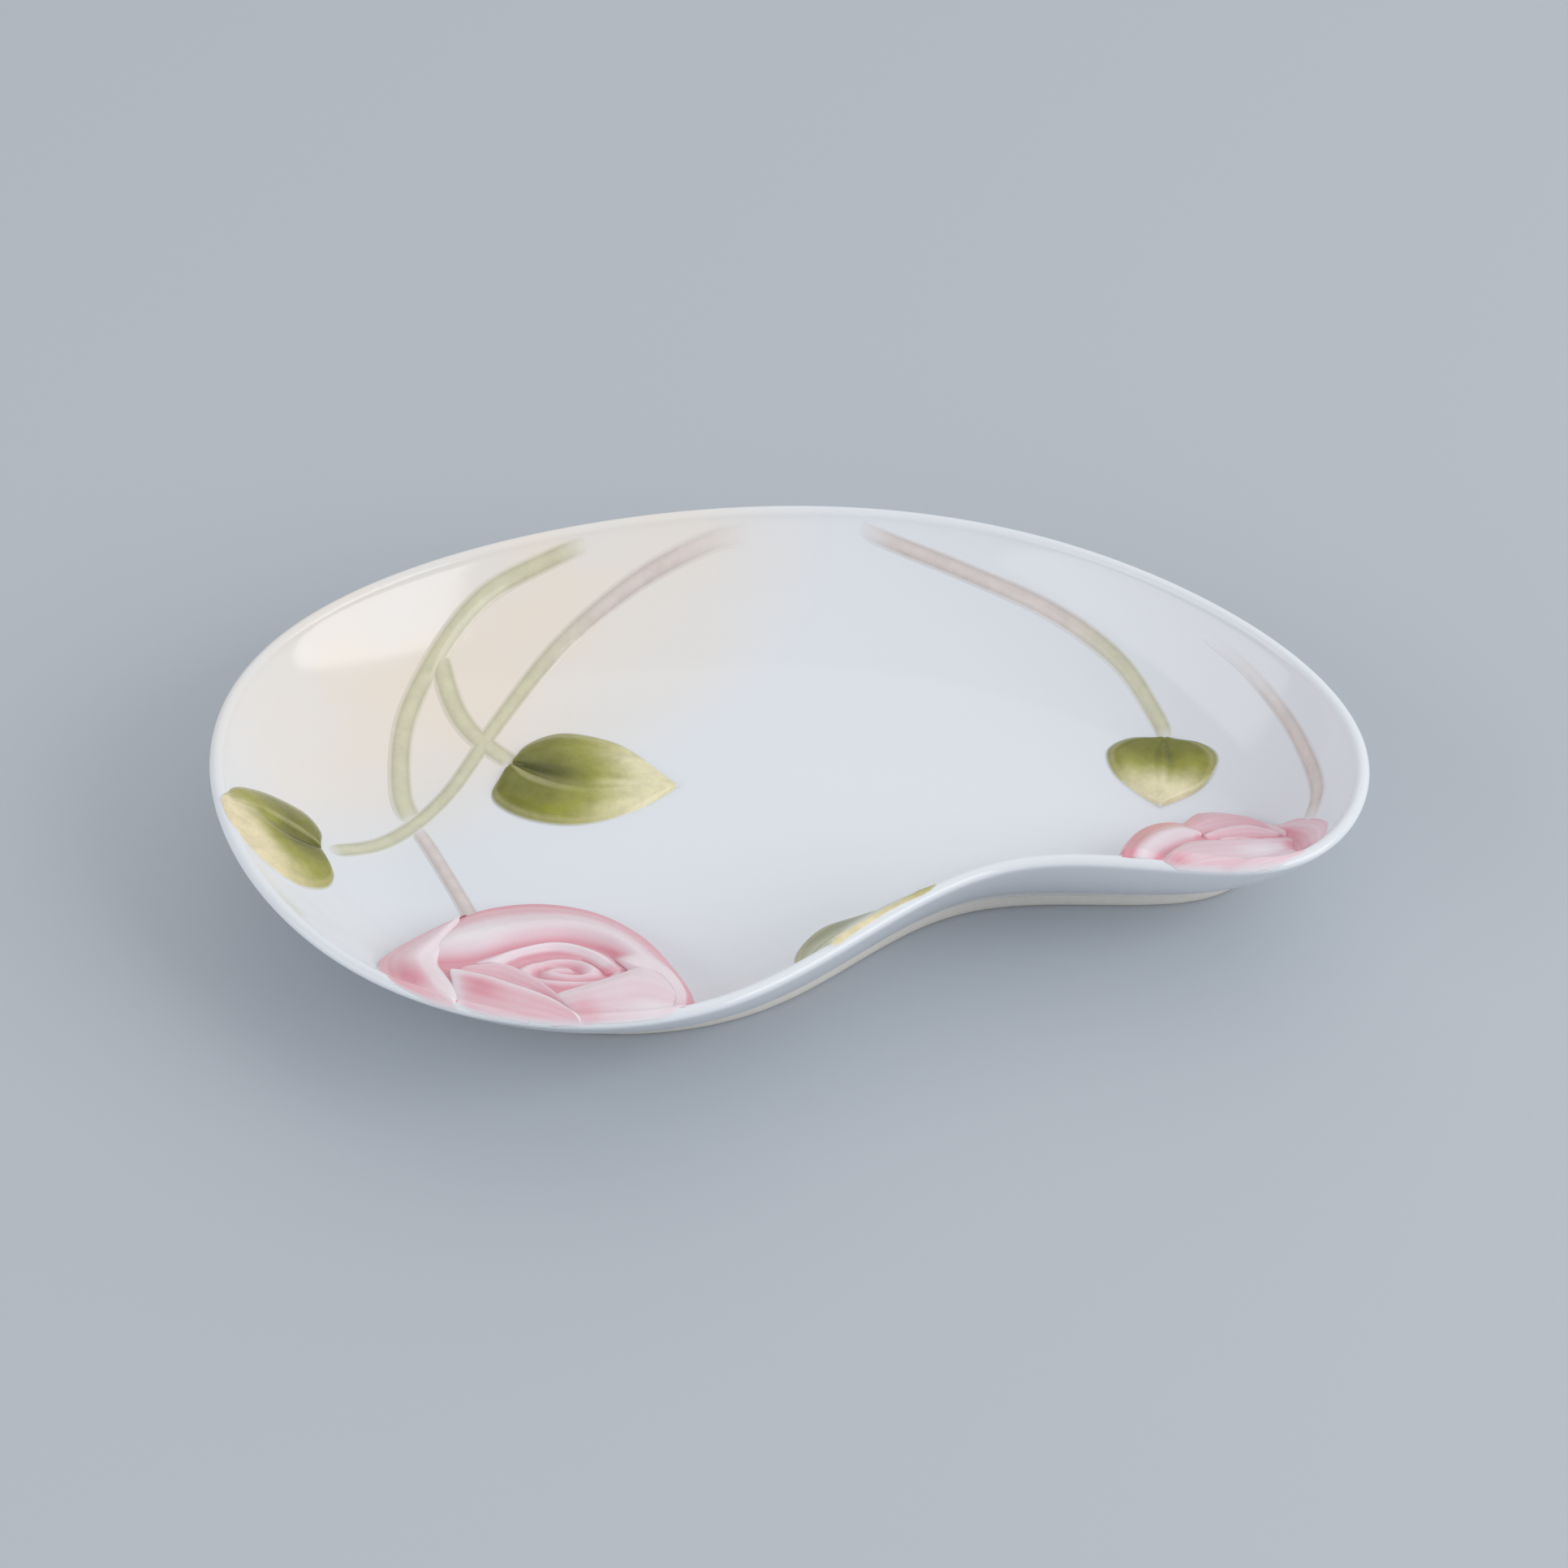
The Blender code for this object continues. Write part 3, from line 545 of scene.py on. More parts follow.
def closed_spline(knots, spans, count):
    """Points of the smooth closed curve through the knots, evenly spread over the spans."""
    size = len(knots)
    left = np.zeros((size, size))
    right = np.zeros(knots.shape)
    for i in range(size):
        after = (i + 1) % size
        left[i, i - 1] += spans[i - 1]
        left[i, i] += 2 * (spans[i - 1] + spans[i])
        left[i, after] += spans[i]
        right[i] = 6 * ((knots[after] - knots[i]) / spans[i] - (knots[i] - knots[i - 1]) / spans[i - 1])
    bend = np.linalg.solve(left, right)
    starts = np.concatenate([[0], np.cumsum(spans)])
    curve = []
    for place in np.linspace(0, starts[-1], count, endpoint=False):
        i = int(np.searchsorted(starts, place, side="right")) - 1
        after = (i + 1) % size
        share = (place - starts[i]) / spans[i]
        rest = 1 - share
        bow = (rest**3 - rest) * bend[i] + (share**3 - share) * bend[after]
        curve.append(rest * knots[i] + share * knots[after] + spans[i] ** 2 / 6 * bow)
    return np.array(curve)


def inset(ring, distance):
    """An anticlockwise ring moved in by a distance."""
    along = np.roll(ring, -1, 0) - np.roll(ring, 1, 0)
    across = np.stack([-along[:, 1], along[:, 0]], axis=1)
    return ring + across / np.linalg.norm(across, axis=1)[:, None] * distance


def ease(share):
    """A smooth step from 0 to 1."""
    share = min(max(share, 0.0), 1.0)
    return share * share * (3 - 2 * share)


def bell(offset, width):
    """A smooth bump of height 1 at offset 0."""
    return math.exp(-((offset / width) ** 2))


def bowed(along, tip):
    """A round bow from end to end, whose ends keep a little height."""
    return math.sin(math.pi * (tip + (1 - 2 * tip) * along)) ** 0.5


def mixed(first, second, share):
    """A colour between two colours."""
    return np.array(first) * (1 - share) + np.array(second) * share


class Plan:
    """The plan drawing stretched to the dish's length and width, with its three outlines."""

    def __init__(self, sizes):
        knots = np.array(RIM_DRAWING)
        spans = np.linalg.norm(np.roll(knots, -1, 0) - knots, axis=1) ** 0.5
        drawn = closed_spline(knots, spans, AROUND)
        self.middle = (drawn.max(0) + drawn.min(0)) / 2
        self.stretch = np.array((sizes.length, sizes.width)) / (drawn.max(0) - drawn.min(0))
        self.rim = self.place(drawn)
        self.foot = self.place(closed_spline(np.array(FOOT_DRAWING), spans, AROUND))
        self.floor = self.place(closed_spline(np.array(FLOOR_DRAWING), spans, AROUND))
        self.centre = self.place(FLOOR_CENTRE)

    def place(self, drawn):
        """Points of the drawing in metres."""
        return (np.array(drawn) - self.middle) * self.stretch

    def from_rim(self, place):
        """Distance from a place to the rim, negative outside it."""
        run = np.roll(self.rim, -1, 0) - self.rim
        gap = place - self.rim
        share = np.clip((gap * run).sum(1) / (run**2).sum(1), 0, 1)
        away = np.linalg.norm(gap - run * share[:, None], axis=1)
        i = away.argmin()
        is_inside = run[i, 0] * gap[i, 1] > run[i, 1] * gap[i, 0]
        return away[i] if is_inside else -away[i]


class Rail:
    """A smooth route through points of the drawing, measured by its share from end to end."""

    def __init__(self, plan, drawn):
        points = list(plan.place(drawn))
        points = [2 * points[0] - points[1], *points, 2 * points[-1] - points[-2]]
        fine = []
        for before, start, end, after in zip(points, points[1:], points[2:], points[3:]):
            leave, arrive = (end - before) / 2, (after - start) / 2
            for t in np.linspace(0, 1, LINE_POINTS, endpoint=False):
                bow = leave * t * (1 - t) ** 2 - arrive * t * t * (1 - t)
                fine.append(start + (end - start) * ease(t) + bow)
        self.line = np.array(fine + [points[-2]])
        run = np.concatenate([[0], np.cumsum(np.linalg.norm(np.diff(self.line, axis=0), axis=1))])
        self.length = run[-1]
        self.run = run / run[-1]

    def at(self, share):
        """The place at a share of the way, carried straight on past the ends."""
        place = np.array([np.interp(share, self.run, column) for column in self.line.T])
        beyond = share - min(max(share, 0), 1)
        if beyond:
            first, second = (-2, -1) if beyond > 0 else (0, 1)
            step = self.line[second] - self.line[first]
            place = place + step / np.linalg.norm(step) * beyond * self.length
        return place


class Bed:
    """The dish's upper face, on which the relief lies."""

    STEP = 0.0003

    def __init__(self, dish):
        # Faces come in another order each run, and their order decides between two that are equally near
        faces = sorted(tuple(face.vertices) for face in dish.data.polygons)
        self.tree = BVHTree.FromPolygons([vert.co for vert in dish.data.vertices], faces)

    def below(self, x, y):
        """Point and face normal of the dish at a place seen from above."""
        point, normal, _, _ = self.tree.ray_cast(Vector((x, y, 1)), Vector((0, 0, -1)))
        if point is None:
            point, normal, _, _ = self.tree.find_nearest(Vector((x, y, DISH_HIGH.z)))
        return point, normal

    def above(self, place, lift):
        """The point at a distance off the dish, square to it."""
        x, y = place
        point, normal = self.below(x, y)
        for side, ahead in ((1, 0), (-1, 0), (0, 1), (0, -1)):
            normal = normal + self.below(x + side * self.STEP, y + ahead * self.STEP)[1]
        return point + normal.normalized() * lift


def wall(low_ring, high_ring, low, high, leans):
    """Rings up a wall whose section is an arc between two leans, stretched from one outline to the other."""
    first, last = leans
    rings = []
    for lean in np.linspace(first, last, WALL_STEPS + 1):
        share = (math.sin(lean) - math.sin(first)) / (math.sin(last) - math.sin(first))
        rise = (math.cos(first) - math.cos(lean)) / (math.cos(first) - math.cos(last))
        rings.append((low_ring * (1 - share) + high_ring * share, low + (high - low) * rise))
    return rings


def level(ring, centre, height):
    """Rings that shrink from an outline towards its centre at one height."""
    shares = np.linspace(1, 0, FLOOR_STEPS + 1)[1:-1]
    return [(centre * (1 - share) + ring * share, height) for share in shares]


def dish_rings(plan, sizes):
    """Rings of the dish's shell, from the middle of its underside over the lip to the middle of its floor."""
    radius = sizes.lip_thickness / 2
    top = sizes.rim_height - radius
    floor = sizes.underside + sizes.floor_thickness
    rings = level(plan.foot, plan.centre, sizes.underside)[::-1]
    rings += wall(plan.foot, plan.rim, sizes.underside, top, sizes.outer_leans)
    for turn in np.linspace(0, math.pi, LIP_STEPS + 2)[1:-1]:
        rings.append((inset(plan.rim, radius * (1 - math.cos(turn))), top + radius * math.sin(turn)))
    rings += wall(plan.floor, inset(plan.rim, sizes.lip_thickness), floor, top, sizes.inner_leans)[::-1]
    return rings + level(plan.floor, plan.centre, floor)


def verts_of(made):
    """The vertices among what an operator made."""
    return [item for item in made["geom"] if isinstance(item, bmesh.types.BMVert)]


def drawn_out(rings):
    """A mesh drawn out ring by ring, open at both ends, with the edges of its first and last ring."""
    mesh = bmesh.new()
    front = bmesh.ops.create_circle(mesh, segments=AROUND, radius=1)["verts"]
    first = edges = mesh.edges[:]
    for number, (ring, height) in enumerate(rings):
        if number:
            made = bmesh.ops.extrude_edge_only(mesh, edges=edges)
            front = verts_of(made)
            made_edges = [item for item in made["geom"] if isinstance(item, bmesh.types.BMEdge)]
            edges = [edge for edge in made_edges if edge.is_boundary]
        for vert, (x, y) in zip(front, ring):
            vert.co = (x, y, height)
    return mesh, first, edges


def gathered(mesh, edges, centre):
    """Closes an open end by gathering it to one point at its own height."""
    verts = verts_of(bmesh.ops.extrude_edge_only(mesh, edges=edges))
    bmesh.ops.pointmerge(mesh, verts=verts, merge_co=(*centre, verts[0].co.z))


def bedded(grid, bed, sink, spot, high, paint):
    """A closed piece: spot lays out its grid, the bed takes its lower face, high gives its upper face."""
    mesh = bmesh.new()
    layer = mesh.verts.layers.float_color.new("paint")
    bmesh.ops.create_grid(mesh, x_segments=grid[0], y_segments=grid[1], size=0.5)
    lower = mesh.verts[:]
    upper = verts_of(bmesh.ops.extrude_face_region(mesh, geom=mesh.faces[:]))
    for verts, is_upper in ((lower, False), (upper, True)):
        for vert in verts:
            along, across = vert.co.x + 0.5, vert.co.y + 0.5
            place = spot(along, across)
            vert[layer] = paint(along, across)
            vert.co = high(along, across, place) if is_upper else bed.above(place, -sink)
    return mesh


def settled(mesh, node, slot, material):
    """Turns a mesh, with its faces outward, into the finished piece that stands for a node."""
    bmesh.ops.recalc_face_normals(mesh, faces=mesh.faces)
    if mesh.calc_volume(signed=True) < 0:
        bmesh.ops.reverse_faces(mesh, faces=mesh.faces)
    data = bpy.data.meshes.new("glazed_" + node)
    mesh.to_mesh(data)
    mesh.free()
    data.shade_smooth()
    data.materials.append(material)
    piece = bpy.data.objects.new(data.name, data)
    bpy.context.scene.collection.objects.link(piece)
    smooth = piece.modifiers.new("Subdivision", "SUBSURF")
    smooth.levels = 1
    smooth.render_levels = 1
    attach(piece, BODY)
    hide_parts(node)
    return piece


class Nodes:
    """Shorthand for building a material's node tree."""

    def __init__(self, name):
        self.material = bpy.data.materials.new(name)
        self.material.use_nodes = True
        self.tree = self.material.node_tree
        self.shader = self.tree.nodes["Principled BSDF"]

    def feed(self, node, values):
        """Sets a node's sockets, or links them from other sockets."""
        for key, value in values.items():
            if isinstance(value, bpy.types.NodeSocket):
                self.tree.links.new(value, node.inputs[key])
            else:
                node.inputs[key].default_value = value

    def add(self, kind, values, **settings):
        """A node with its settings, and with its sockets fed."""
        node = self.tree.nodes.new(kind)
        for key, value in settings.items():
            setattr(node, key, value)
        self.feed(node, values)
        return node

    @cached_property
    def coords(self):
        """The object's own coordinates."""
        return self.add("ShaderNodeTexCoord", {}).outputs["Object"]

    def noise(self, scale, detail, roughness=0.5):
        """Cloudy noise."""
        values = {"Vector": self.coords, "Scale": scale, "Detail": detail, "Roughness": roughness}
        return self.add("ShaderNodeTexNoise", values).outputs["Fac"]

    def spread(self, noise, low, high):
        """Noise spread over a range."""
        values = {"Value": noise, "From Min": NOISE_LOW, "From Max": NOISE_HIGH}
        return self.add("ShaderNodeMapRange", values | {"To Min": low, "To Max": high}).outputs["Result"]

    def times(self, first, second, use_clamp=False):
        """The product of two values."""
        values = {0: first, 1: second}
        return self.add("ShaderNodeMath", values, operation="MULTIPLY", use_clamp=use_clamp).outputs["Value"]

    def mix(self, factor, first, second):
        """A colour between two colours."""
        return self.add("ShaderNodeMix", {"Factor": factor, 6: first, 7: second}, data_type="RGBA").outputs[2]

    def bump(self, height, strength, distance):
        """Tilts the shader's normal along a height."""
        values = {"Height": height, "Strength": strength, "Distance": distance}
        self.feed(self.shader, {"Normal": self.add("ShaderNodeBump", values).outputs["Normal"]})


def glaze(name, colours, roughness, ripple, cover=None, mottle=0.0, shine=0.5):
    """Glossy porcelain glaze: cool white with a warm cream tint towards the left, under mottled paint if its
    cover is given.
    """
    nodes = Nodes(name)
    around = nodes.add("ShaderNodeMapping", {
        "Vector": nodes.coords, "Location": CREAM_PLACE, "Rotation": CREAM_TURN, "Scale": CREAM_REACH,
    }, vector_type="TEXTURE")
    turned = {"Vector": around.outputs["Vector"]}
    blush = nodes.add("ShaderNodeTexGradient", turned, gradient_type="SPHERICAL")
    clouds = nodes.times(blush.outputs["Fac"], nodes.noise(scale=45.0, detail=3.0))
    warmth = nodes.times(clouds, CREAM_STRENGTH, use_clamp=True)
    colour = nodes.mix(warmth, (*colours.glaze, 1), (*colours.cream, 1))
    if cover is not None:
        paint = nodes.add("ShaderNodeAttribute", {}, attribute_name="paint")
        brush = nodes.spread(nodes.noise(scale=900.0, detail=4.0, roughness=0.6), cover, 1.0)
        sponge = nodes.spread(nodes.noise(scale=420.0, detail=6.0, roughness=0.7), 1 - mottle, 1 + mottle)
        shade = nodes.add("ShaderNodeHueSaturation", {"Value": sponge, "Color": paint.outputs["Color"]})
        coat = nodes.times(paint.outputs["Alpha"], brush)
        colour = nodes.mix(coat, colour, shade.outputs["Color"])
    streaky = nodes.noise(scale=130.0, detail=5.0)
    smears = nodes.spread(streaky, roughness * SMEAR_LOW, roughness * SMEAR_HIGH)
    nodes.bump(nodes.noise(scale=320.0, detail=2.0), strength=ripple, distance=0.0004)
    nodes.feed(nodes.shader, {
        "Base Color": colour, "Roughness": smears, "IOR": 1.52, "Specular IOR Level": shine,
    })
    return nodes.material


def biscuit(colours):
    """Bare fired clay, matt and a little gritty."""
    nodes = Nodes("bare_biscuit_clay")
    grit = nodes.noise(scale=1400.0, detail=5.0)
    dusty = [0.9 * value for value in colours.biscuit]
    nodes.bump(grit, strength=0.3, distance=0.0001)
    nodes.feed(nodes.shader, {
        "Base Color": nodes.mix(grit, (*colours.biscuit, 1), (*dusty, 1)), "Roughness": 0.75,
    })
    return nodes.material


def ground(scene):
    """What the relief is laid on and made with: the plan, the dish's face, the sizes and the colours."""
    sizes = scene.saucer_sizes
    return Plan(sizes), Bed(bpy.data.objects["glazed_dish"]), sizes, scene.saucer_colours


class SAUCER_OT_dish(bpy.types.Operator):
    """Models the cast dish with its rounded lip"""

    bl_idname = "saucer.dish"
    bl_label = "Dish"

    def execute(self, context):
        sizes = context.scene.saucer_sizes
        plan = Plan(sizes)
        mesh, low, high = drawn_out(dish_rings(plan, sizes))
        for end in (low, high):
            gathered(mesh, end, plan.centre)
        finish = glaze("white_glaze_dish", context.scene.saucer_colours, roughness=0.12, ripple=0.03)
        settled(mesh, "dish", "white_glaze", finish)
        return {"FINISHED"}


class SAUCER_OT_foot_ring(bpy.types.Operator):
    """Models the bare clay ring that the dish stands on"""

    bl_idname = "saucer.foot_ring"
    bl_label = "Foot Ring"

    def execute(self, context):
        sizes = context.scene.saucer_sizes
        plan = Plan(sizes)
        top = sizes.underside + sizes.sink
        soft = sizes.foot_width / 8
        inner = inset(plan.foot, sizes.foot_width)
        section = (
            (inset(plan.foot, soft), 0), (plan.foot, soft), (plan.foot, top - soft), (plan.foot, top),
            (inner, top), (inner, top - soft), (inner, soft), (inset(plan.foot, sizes.foot_width - soft), 0),
        )
        mesh, first, last = drawn_out(section)
        bmesh.ops.bridge_loops(mesh, edges=first + last)
        settled(mesh, "foot_ring", "bare_biscuit", biscuit(context.scene.saucer_colours))
        return {"FINISHED"}


class SAUCER_OT_stems(bpy.types.Operator):
    """Models the stems, brushed on in low relief"""

    bl_idname = "saucer.stems"
    bl_label = "Stems"

    def execute(self, context):
        finish = glaze(
            "stem_paint", context.scene.saucer_colours, roughness=0.14, ripple=0.05, cover=0.88, mottle=0.09,
        )
        made_with = ground(context.scene)
        for name, drawing in STEMS.items():
            settled(self.stem(drawing, *made_with), name, drawing.foot_tint, finish)
        return {"FINISHED"}

    def stem(self, drawing, plan, bed, sizes, colours):
        """A half-round stroke along its route."""
        rail = Rail(plan, drawing.route)
        foot_tint = getattr(colours, drawing.foot_tint)
        far_tint = getattr(colours, drawing.far_tint)

        def spot(along, across):
            ahead = rail.at(min(along + SIDE_STEP, 1)) - rail.at(max(along - SIDE_STEP, 0))
            side = np.array((-ahead[1], ahead[0])) / np.linalg.norm(ahead)
            width = (drawing.foot_width + (drawing.far_width - drawing.foot_width) * along) * MILLIMETRE
            return rail.at(along) + side * width * (across - 0.5)

        def ends(along):
            return ease(along / drawing.foot_fade) * ease((1 - along) / drawing.far_fade)

        def high(along, across, place):
            crown = sizes.stem_height * math.sin(math.pi * across) ** STEM_ROUND * ends(along)
            buried = sizes.sink / 2 * ease(1 - min(along, 1 - along) / END_SHARE)
            return bed.above(place, sizes.wash + crown - buried)

        def paint(along, across):
            off = abs(2 * across - 1)
            tint = mixed(foot_tint, far_tint, ease((along - drawing.change) / STEM_BLEND + 0.5))
            shade = STEM_SHADE + STEM_LIGHT.at(off) - STEM_DARK.at(off)
            cover = STEM_COVER * ease((1 - off) / STEM_SIDES) * ends(along)
            return (*(tint * shade), cover)

        grid = (int(rail.length / STEM_SPACING), STEM_ROWS)
        return bedded(grid, bed, sizes.sink, spot, high, paint)


class SAUCER_OT_leaves(bpy.types.Operator):
    """Models the four crowned leaves with their creased midribs"""

    bl_idname = "saucer.leaves"
    bl_label = "Leaves"

    def execute(self, context):
        finish = glaze(
            "leaf_paint", context.scene.saucer_colours,
            roughness=0.12, ripple=0.06, cover=0.97, mottle=0.16, shine=0.4,
        )
        made_with = ground(context.scene)
        for name, drawing in LEAVES.items():
            settled(self.leaf(drawing, *made_with), name, "leaf_green", finish)
        return {"FINISHED"}

    def leaf(self, drawing, plan, bed, sizes, colours):
        """A leaf spread between its two edges and its midrib."""
        right, rib, left = (Rail(plan, route) for route in (drawing.right, drawing.rib, drawing.left))
        pale = getattr(colours, drawing.tip_tint)

        def spot(along, across):
            edge = right if across < 0.5 else left
            return mixed(rib.at(along), edge.at(along), abs(2 * across - 1))

        def crease(along):
            return drawing.crease * ease((drawing.reach - along) / CREASE_FADE) * ease(along / CREASE_START)

        def high(along, across, place):
            off = 2 * across - 1
            thin = ease(plan.from_rim(place) / sizes.leaf_margin)
            crown = sizes.leaf_crown * (1 - abs(off) ** LEAF_SQUARE) * bowed(along, LEAF_TIP)
            groove = sizes.leaf_groove * (LEAF_GROOVE.at(off) - LEAF_FOLD.at(off)) * crease(along)
            return bed.above(place, sizes.wash + max(crown - groove, 0) * thin)

        def paint(along, across):
            off = 2 * across - 1
            veins = sum(line.at(off) for line in LEAF_VEINS)
            turned = along + drawing.slant * off - drawing.bow * off * off - VEIN_REACH * veins
            turned += LEAF_WAVER * math.sin(LEAF_WAVES * off + 2)
            green = ease((turned - drawing.green_until) / GREEN_BLEND + 0.5)
            yellow = ease((turned - drawing.yellow_from) / YELLOW_BLEND + 0.5)
            tint = mixed(mixed(colours.leaf_dark, colours.leaf_mid, green), pale, yellow)
            # Darker beside the crease: pooled paint with painted shade of the groove; then a painted
            # highlight on the fold
            dark = sum(line.at(off) for line in LEAF_CREASE_POOLS_AND_SHADE) * crease(along)
            streaks = VEIN_DEPTH * veins * ease((VEIN_END - along) / VEIN_FADE)
            tint = mixed(tint * (1 - dark - streaks), pale, LEAF_FOLD_HIGHLIGHT.at(off) * crease(along))
            # A pale line near the edges: a painted highlight of the glaze along the leaf's rim
            tint = mixed(tint, pale, LEAF_RIM_HIGHLIGHT.at(abs(off)) * ease(along / RIM_HIGHLIGHT_START))
            cover = ease((1 - abs(off)) / SIDE_FADE) * ease(along / STALK_FADE) * ease((1 - along) / TIP_FADE)
            return (*tint, cover)

        return bedded(LEAF_GRID, bed, sizes.sink, spot, high, paint)


class Rose:
    """A rose in high relief that fills the cove of the wall, from the lip down to the floor."""

    def __init__(self, drawing, plan, bed, sizes, colours):
        self.drawing = drawing
        self.plan = plan
        self.bed = bed
        self.sizes = sizes
        self.colours = colours
        self.low_end = plan.place(drawing.low)
        slope = plan.place(drawing.rim) - self.low_end
        self.outward = slope / np.linalg.norm(slope)
        self.reach = np.linalg.norm(slope) - sizes.lip_thickness / 2
        self.seams = {name: Rail(plan, drawn) for name, drawn in drawing.seams.items()}
        outline = np.concatenate([rail.line for name, rail in self.seams.items() if name.startswith("edge")])
        self.middle = (outline.max(0) + outline.min(0)) / 2
        self.angles = np.arctan2(*(outline - self.middle).T[::-1])
        self.radii = np.linalg.norm(outline - self.middle, axis=1)

    def thin(self, place):
        """How the relief thins out towards the rim."""
        return ease(self.plan.from_rim(place) / self.sizes.lip_thickness)

    def filled(self, place):
        """How high the slope from the floor to the lip lies over the dish at a place."""
        share = min((place - self.low_end) @ self.outward / self.reach, 1)
        floor = self.sizes.underside + self.sizes.floor_thickness
        slope = floor + (self.sizes.rim_height - floor) * share - self.bed.below(*place)[0].z
        return (slope + math.hypot(slope, self.sizes.petal_edge)) / 2 * self.thin(place)

    def high(self, place, lift, rolled=1):
        """The point lifted off the slope, or rolled down from there to the dish."""
        rise = max(self.filled(place) + lift * self.thin(place), 0) * rolled
        return self.bed.above(place, self.sizes.wash) + Vector((0, 0, rise))

    def paint(self, place, tone, cover):
        """Pink between white, pale and deep, which thins out over the lip; the white is partly paler paint on
        the crests and partly painted highlight.
        """
        lip = ease((self.plan.from_rim(place) / self.sizes.lip_thickness + LIP_OVERLAP) * LIP_FADE)
        further = self.colours.petal_deep if tone > 0 else self.colours.petal_white_and_highlight
        return (*mixed(self.colours.petal_pale, further, min(abs(tone), 1)), cover * lip)

    def petal(self, drawing):
        """A petal between its two seams, tucked under its neighbours."""
        inner, outer = self.seams[drawing.inner], self.seams[drawing.outer]
        inner_height, crest_height, outer_height = (height * MILLIMETRE for height in drawing.heights)
        on_dish = drawing.outer.startswith("edge")
        tuck = self.sizes.tuck

        @cache
        def section(along):
            longer = tuck / outer.length
            along = (1 + 2 * longer) * along - longer
            near, far = inner.at(along), outer.at(along)
            width = max(np.linalg.norm(far - near), tuck)
            beyond = ROLL_SHARE * self.filled(far) if on_dish else tuck
            return near, (far - near) / width, width, beyond

        def spot(along, across):
            near, step, width, beyond = section(along)
            return near + step * (across * (tuck + width + beyond) - tuck)

        def stations(along, across):
            """How far a place lies between the seams, under the inner one and past the outer one."""
            _, _, width, beyond = section(along)
            reach = across * (tuck + width + beyond) - tuck
            past = (reach - width) / beyond if beyond > 0 else 0
            return min(max(reach / width, 0), 1), ease(-reach / tuck), min(max(past, 0), 1)

        def kept(along, share):
            """The station of the section at a share, which stops at the crest where the petal is flush."""
            crease = ease((drawing.creased_until - along) / FLUSH_SHARE)
            return max(share, drawing.crest * (1 - crease)), crease

        def rise(share):
            if share < drawing.crest:
                return inner_height + (crest_height - inner_height) * ease(share / drawing.crest)
            fallen = ease((share - drawing.crest) / (1 - drawing.crest))
            return crest_height + (outer_height - crest_height) * fallen

        def high(along, across, place):
            share, under, past = stations(along, across)
            share, crease = kept(along, share)
            closing = ease(1 - along / END_SHARE) + ease(1 - (1 - along) / END_SHARE)
            dip = self.sizes.tuck_depth * (under * crease + END_DIP * closing)
            lift = rise(share) * bowed(along, PETAL_TIP) - dip
            if on_dish:
                return self.high(place, lift, math.cos(math.pi / 2 * past))
            return self.high(place, lift - self.sizes.tuck_depth * ease(past))

        def paint(along, across):
            share, _, past = stations(along, across)
            share, _ = kept(along, share)
            tone = np.interp(share, TONE_STEPS, drawing.tones)
            for where_along, where_across, long, wide, amount in drawing.blushes:
                tone += amount * bell(along - where_along, long) * bell(share - where_across, wide)
            fine = FINE_TONE * math.sin(FINE_STREAKS * share + FINE_SLANT * along)
            tone += fine * ease((share - FINE_FROM) / FINE_FADE)
            tone += BROAD_TONE * math.sin(BROAD_STREAKS * share + BROAD_SLANT * along + 1)
            cover = ease((1 - past) / PETAL_FADE) if on_dish else 1
            return self.paint(spot(along, across), tone, cover)

        return bedded(PETAL_GRID, self.bed, self.sizes.sink, spot, high, paint)

    def heart_bud(self):
        """The heart: small folds wound in a spiral, on a bed that reaches under the petals."""
        heart = self.plan.place(self.drawing.heart)
        radii = np.array(self.drawing.radii) * MILLIMETRE

        def spot(u, v):
            x, y = 2 * u - 1, 2 * v - 1
            x, y = x * math.sqrt(1 - y * y / 2), y * math.sqrt(1 - x * x / 2)
            turned = np.abs((self.angles - math.atan2(y, x) + math.pi) % (2 * math.pi) - math.pi)
            reach = self.radii[turned.argsort()[:OUTLINE_POINTS]].min() - self.sizes.heart_margin
            return self.middle + np.array((x, y)) * reach

        def fold(place):
            x, y = (place - heart) / radii
            share, angle = math.hypot(x, y), math.atan2(y, x)
            turned = 2 * math.pi * HEART_TURNS * share - angle + HEART_WAVER * math.sin(HEART_LOBES * angle)
            return 0.5 + 0.5 * math.cos(turned), ease((share - HEART_END) / HEART_FADE)

        def high(_u, _v, place):
            wound, outside = fold(place)
            lift = self.drawing.bud * MILLIMETRE + self.sizes.heart_rise * (wound - 1)
            return self.high(place, lift * (1 - outside) - self.sizes.heart_depth * outside)

        def paint(u, v):
            place = spot(u, v)
            wound, outside = fold(place)
            tone = HEART_TONE * (1 - wound) ** HEART_ROUND + HEART_PALE
            return self.paint(place, tone * (1 - outside) + HEART_TONE * outside, 1)

        return bedded(HEART_GRID, self.bed, self.sizes.sink, spot, high, paint)


class SAUCER_OT_roses(bpy.types.Operator):
    """Models the two roses, petal by petal"""

    bl_idname = "saucer.roses"
    bl_label = "Roses"

    def execute(self, context):
        finish = glaze(
            "petal_paint", context.scene.saucer_colours,
            roughness=0.24, ripple=0.06, cover=0.95, mottle=0.02, shine=0.18,
        )
        made_with = ground(context.scene)
        for name, drawing in ROSES.items():
            rose = Rose(drawing, *made_with)
            for petal, shape in drawing.petals.items():
                settled(rose.petal(shape), f"{name}_{petal}", "petal_pink", finish)
            settled(rose.heart_bud(), f"{name}_heart", "petal_pink", finish)
        return {"FINISHED"}


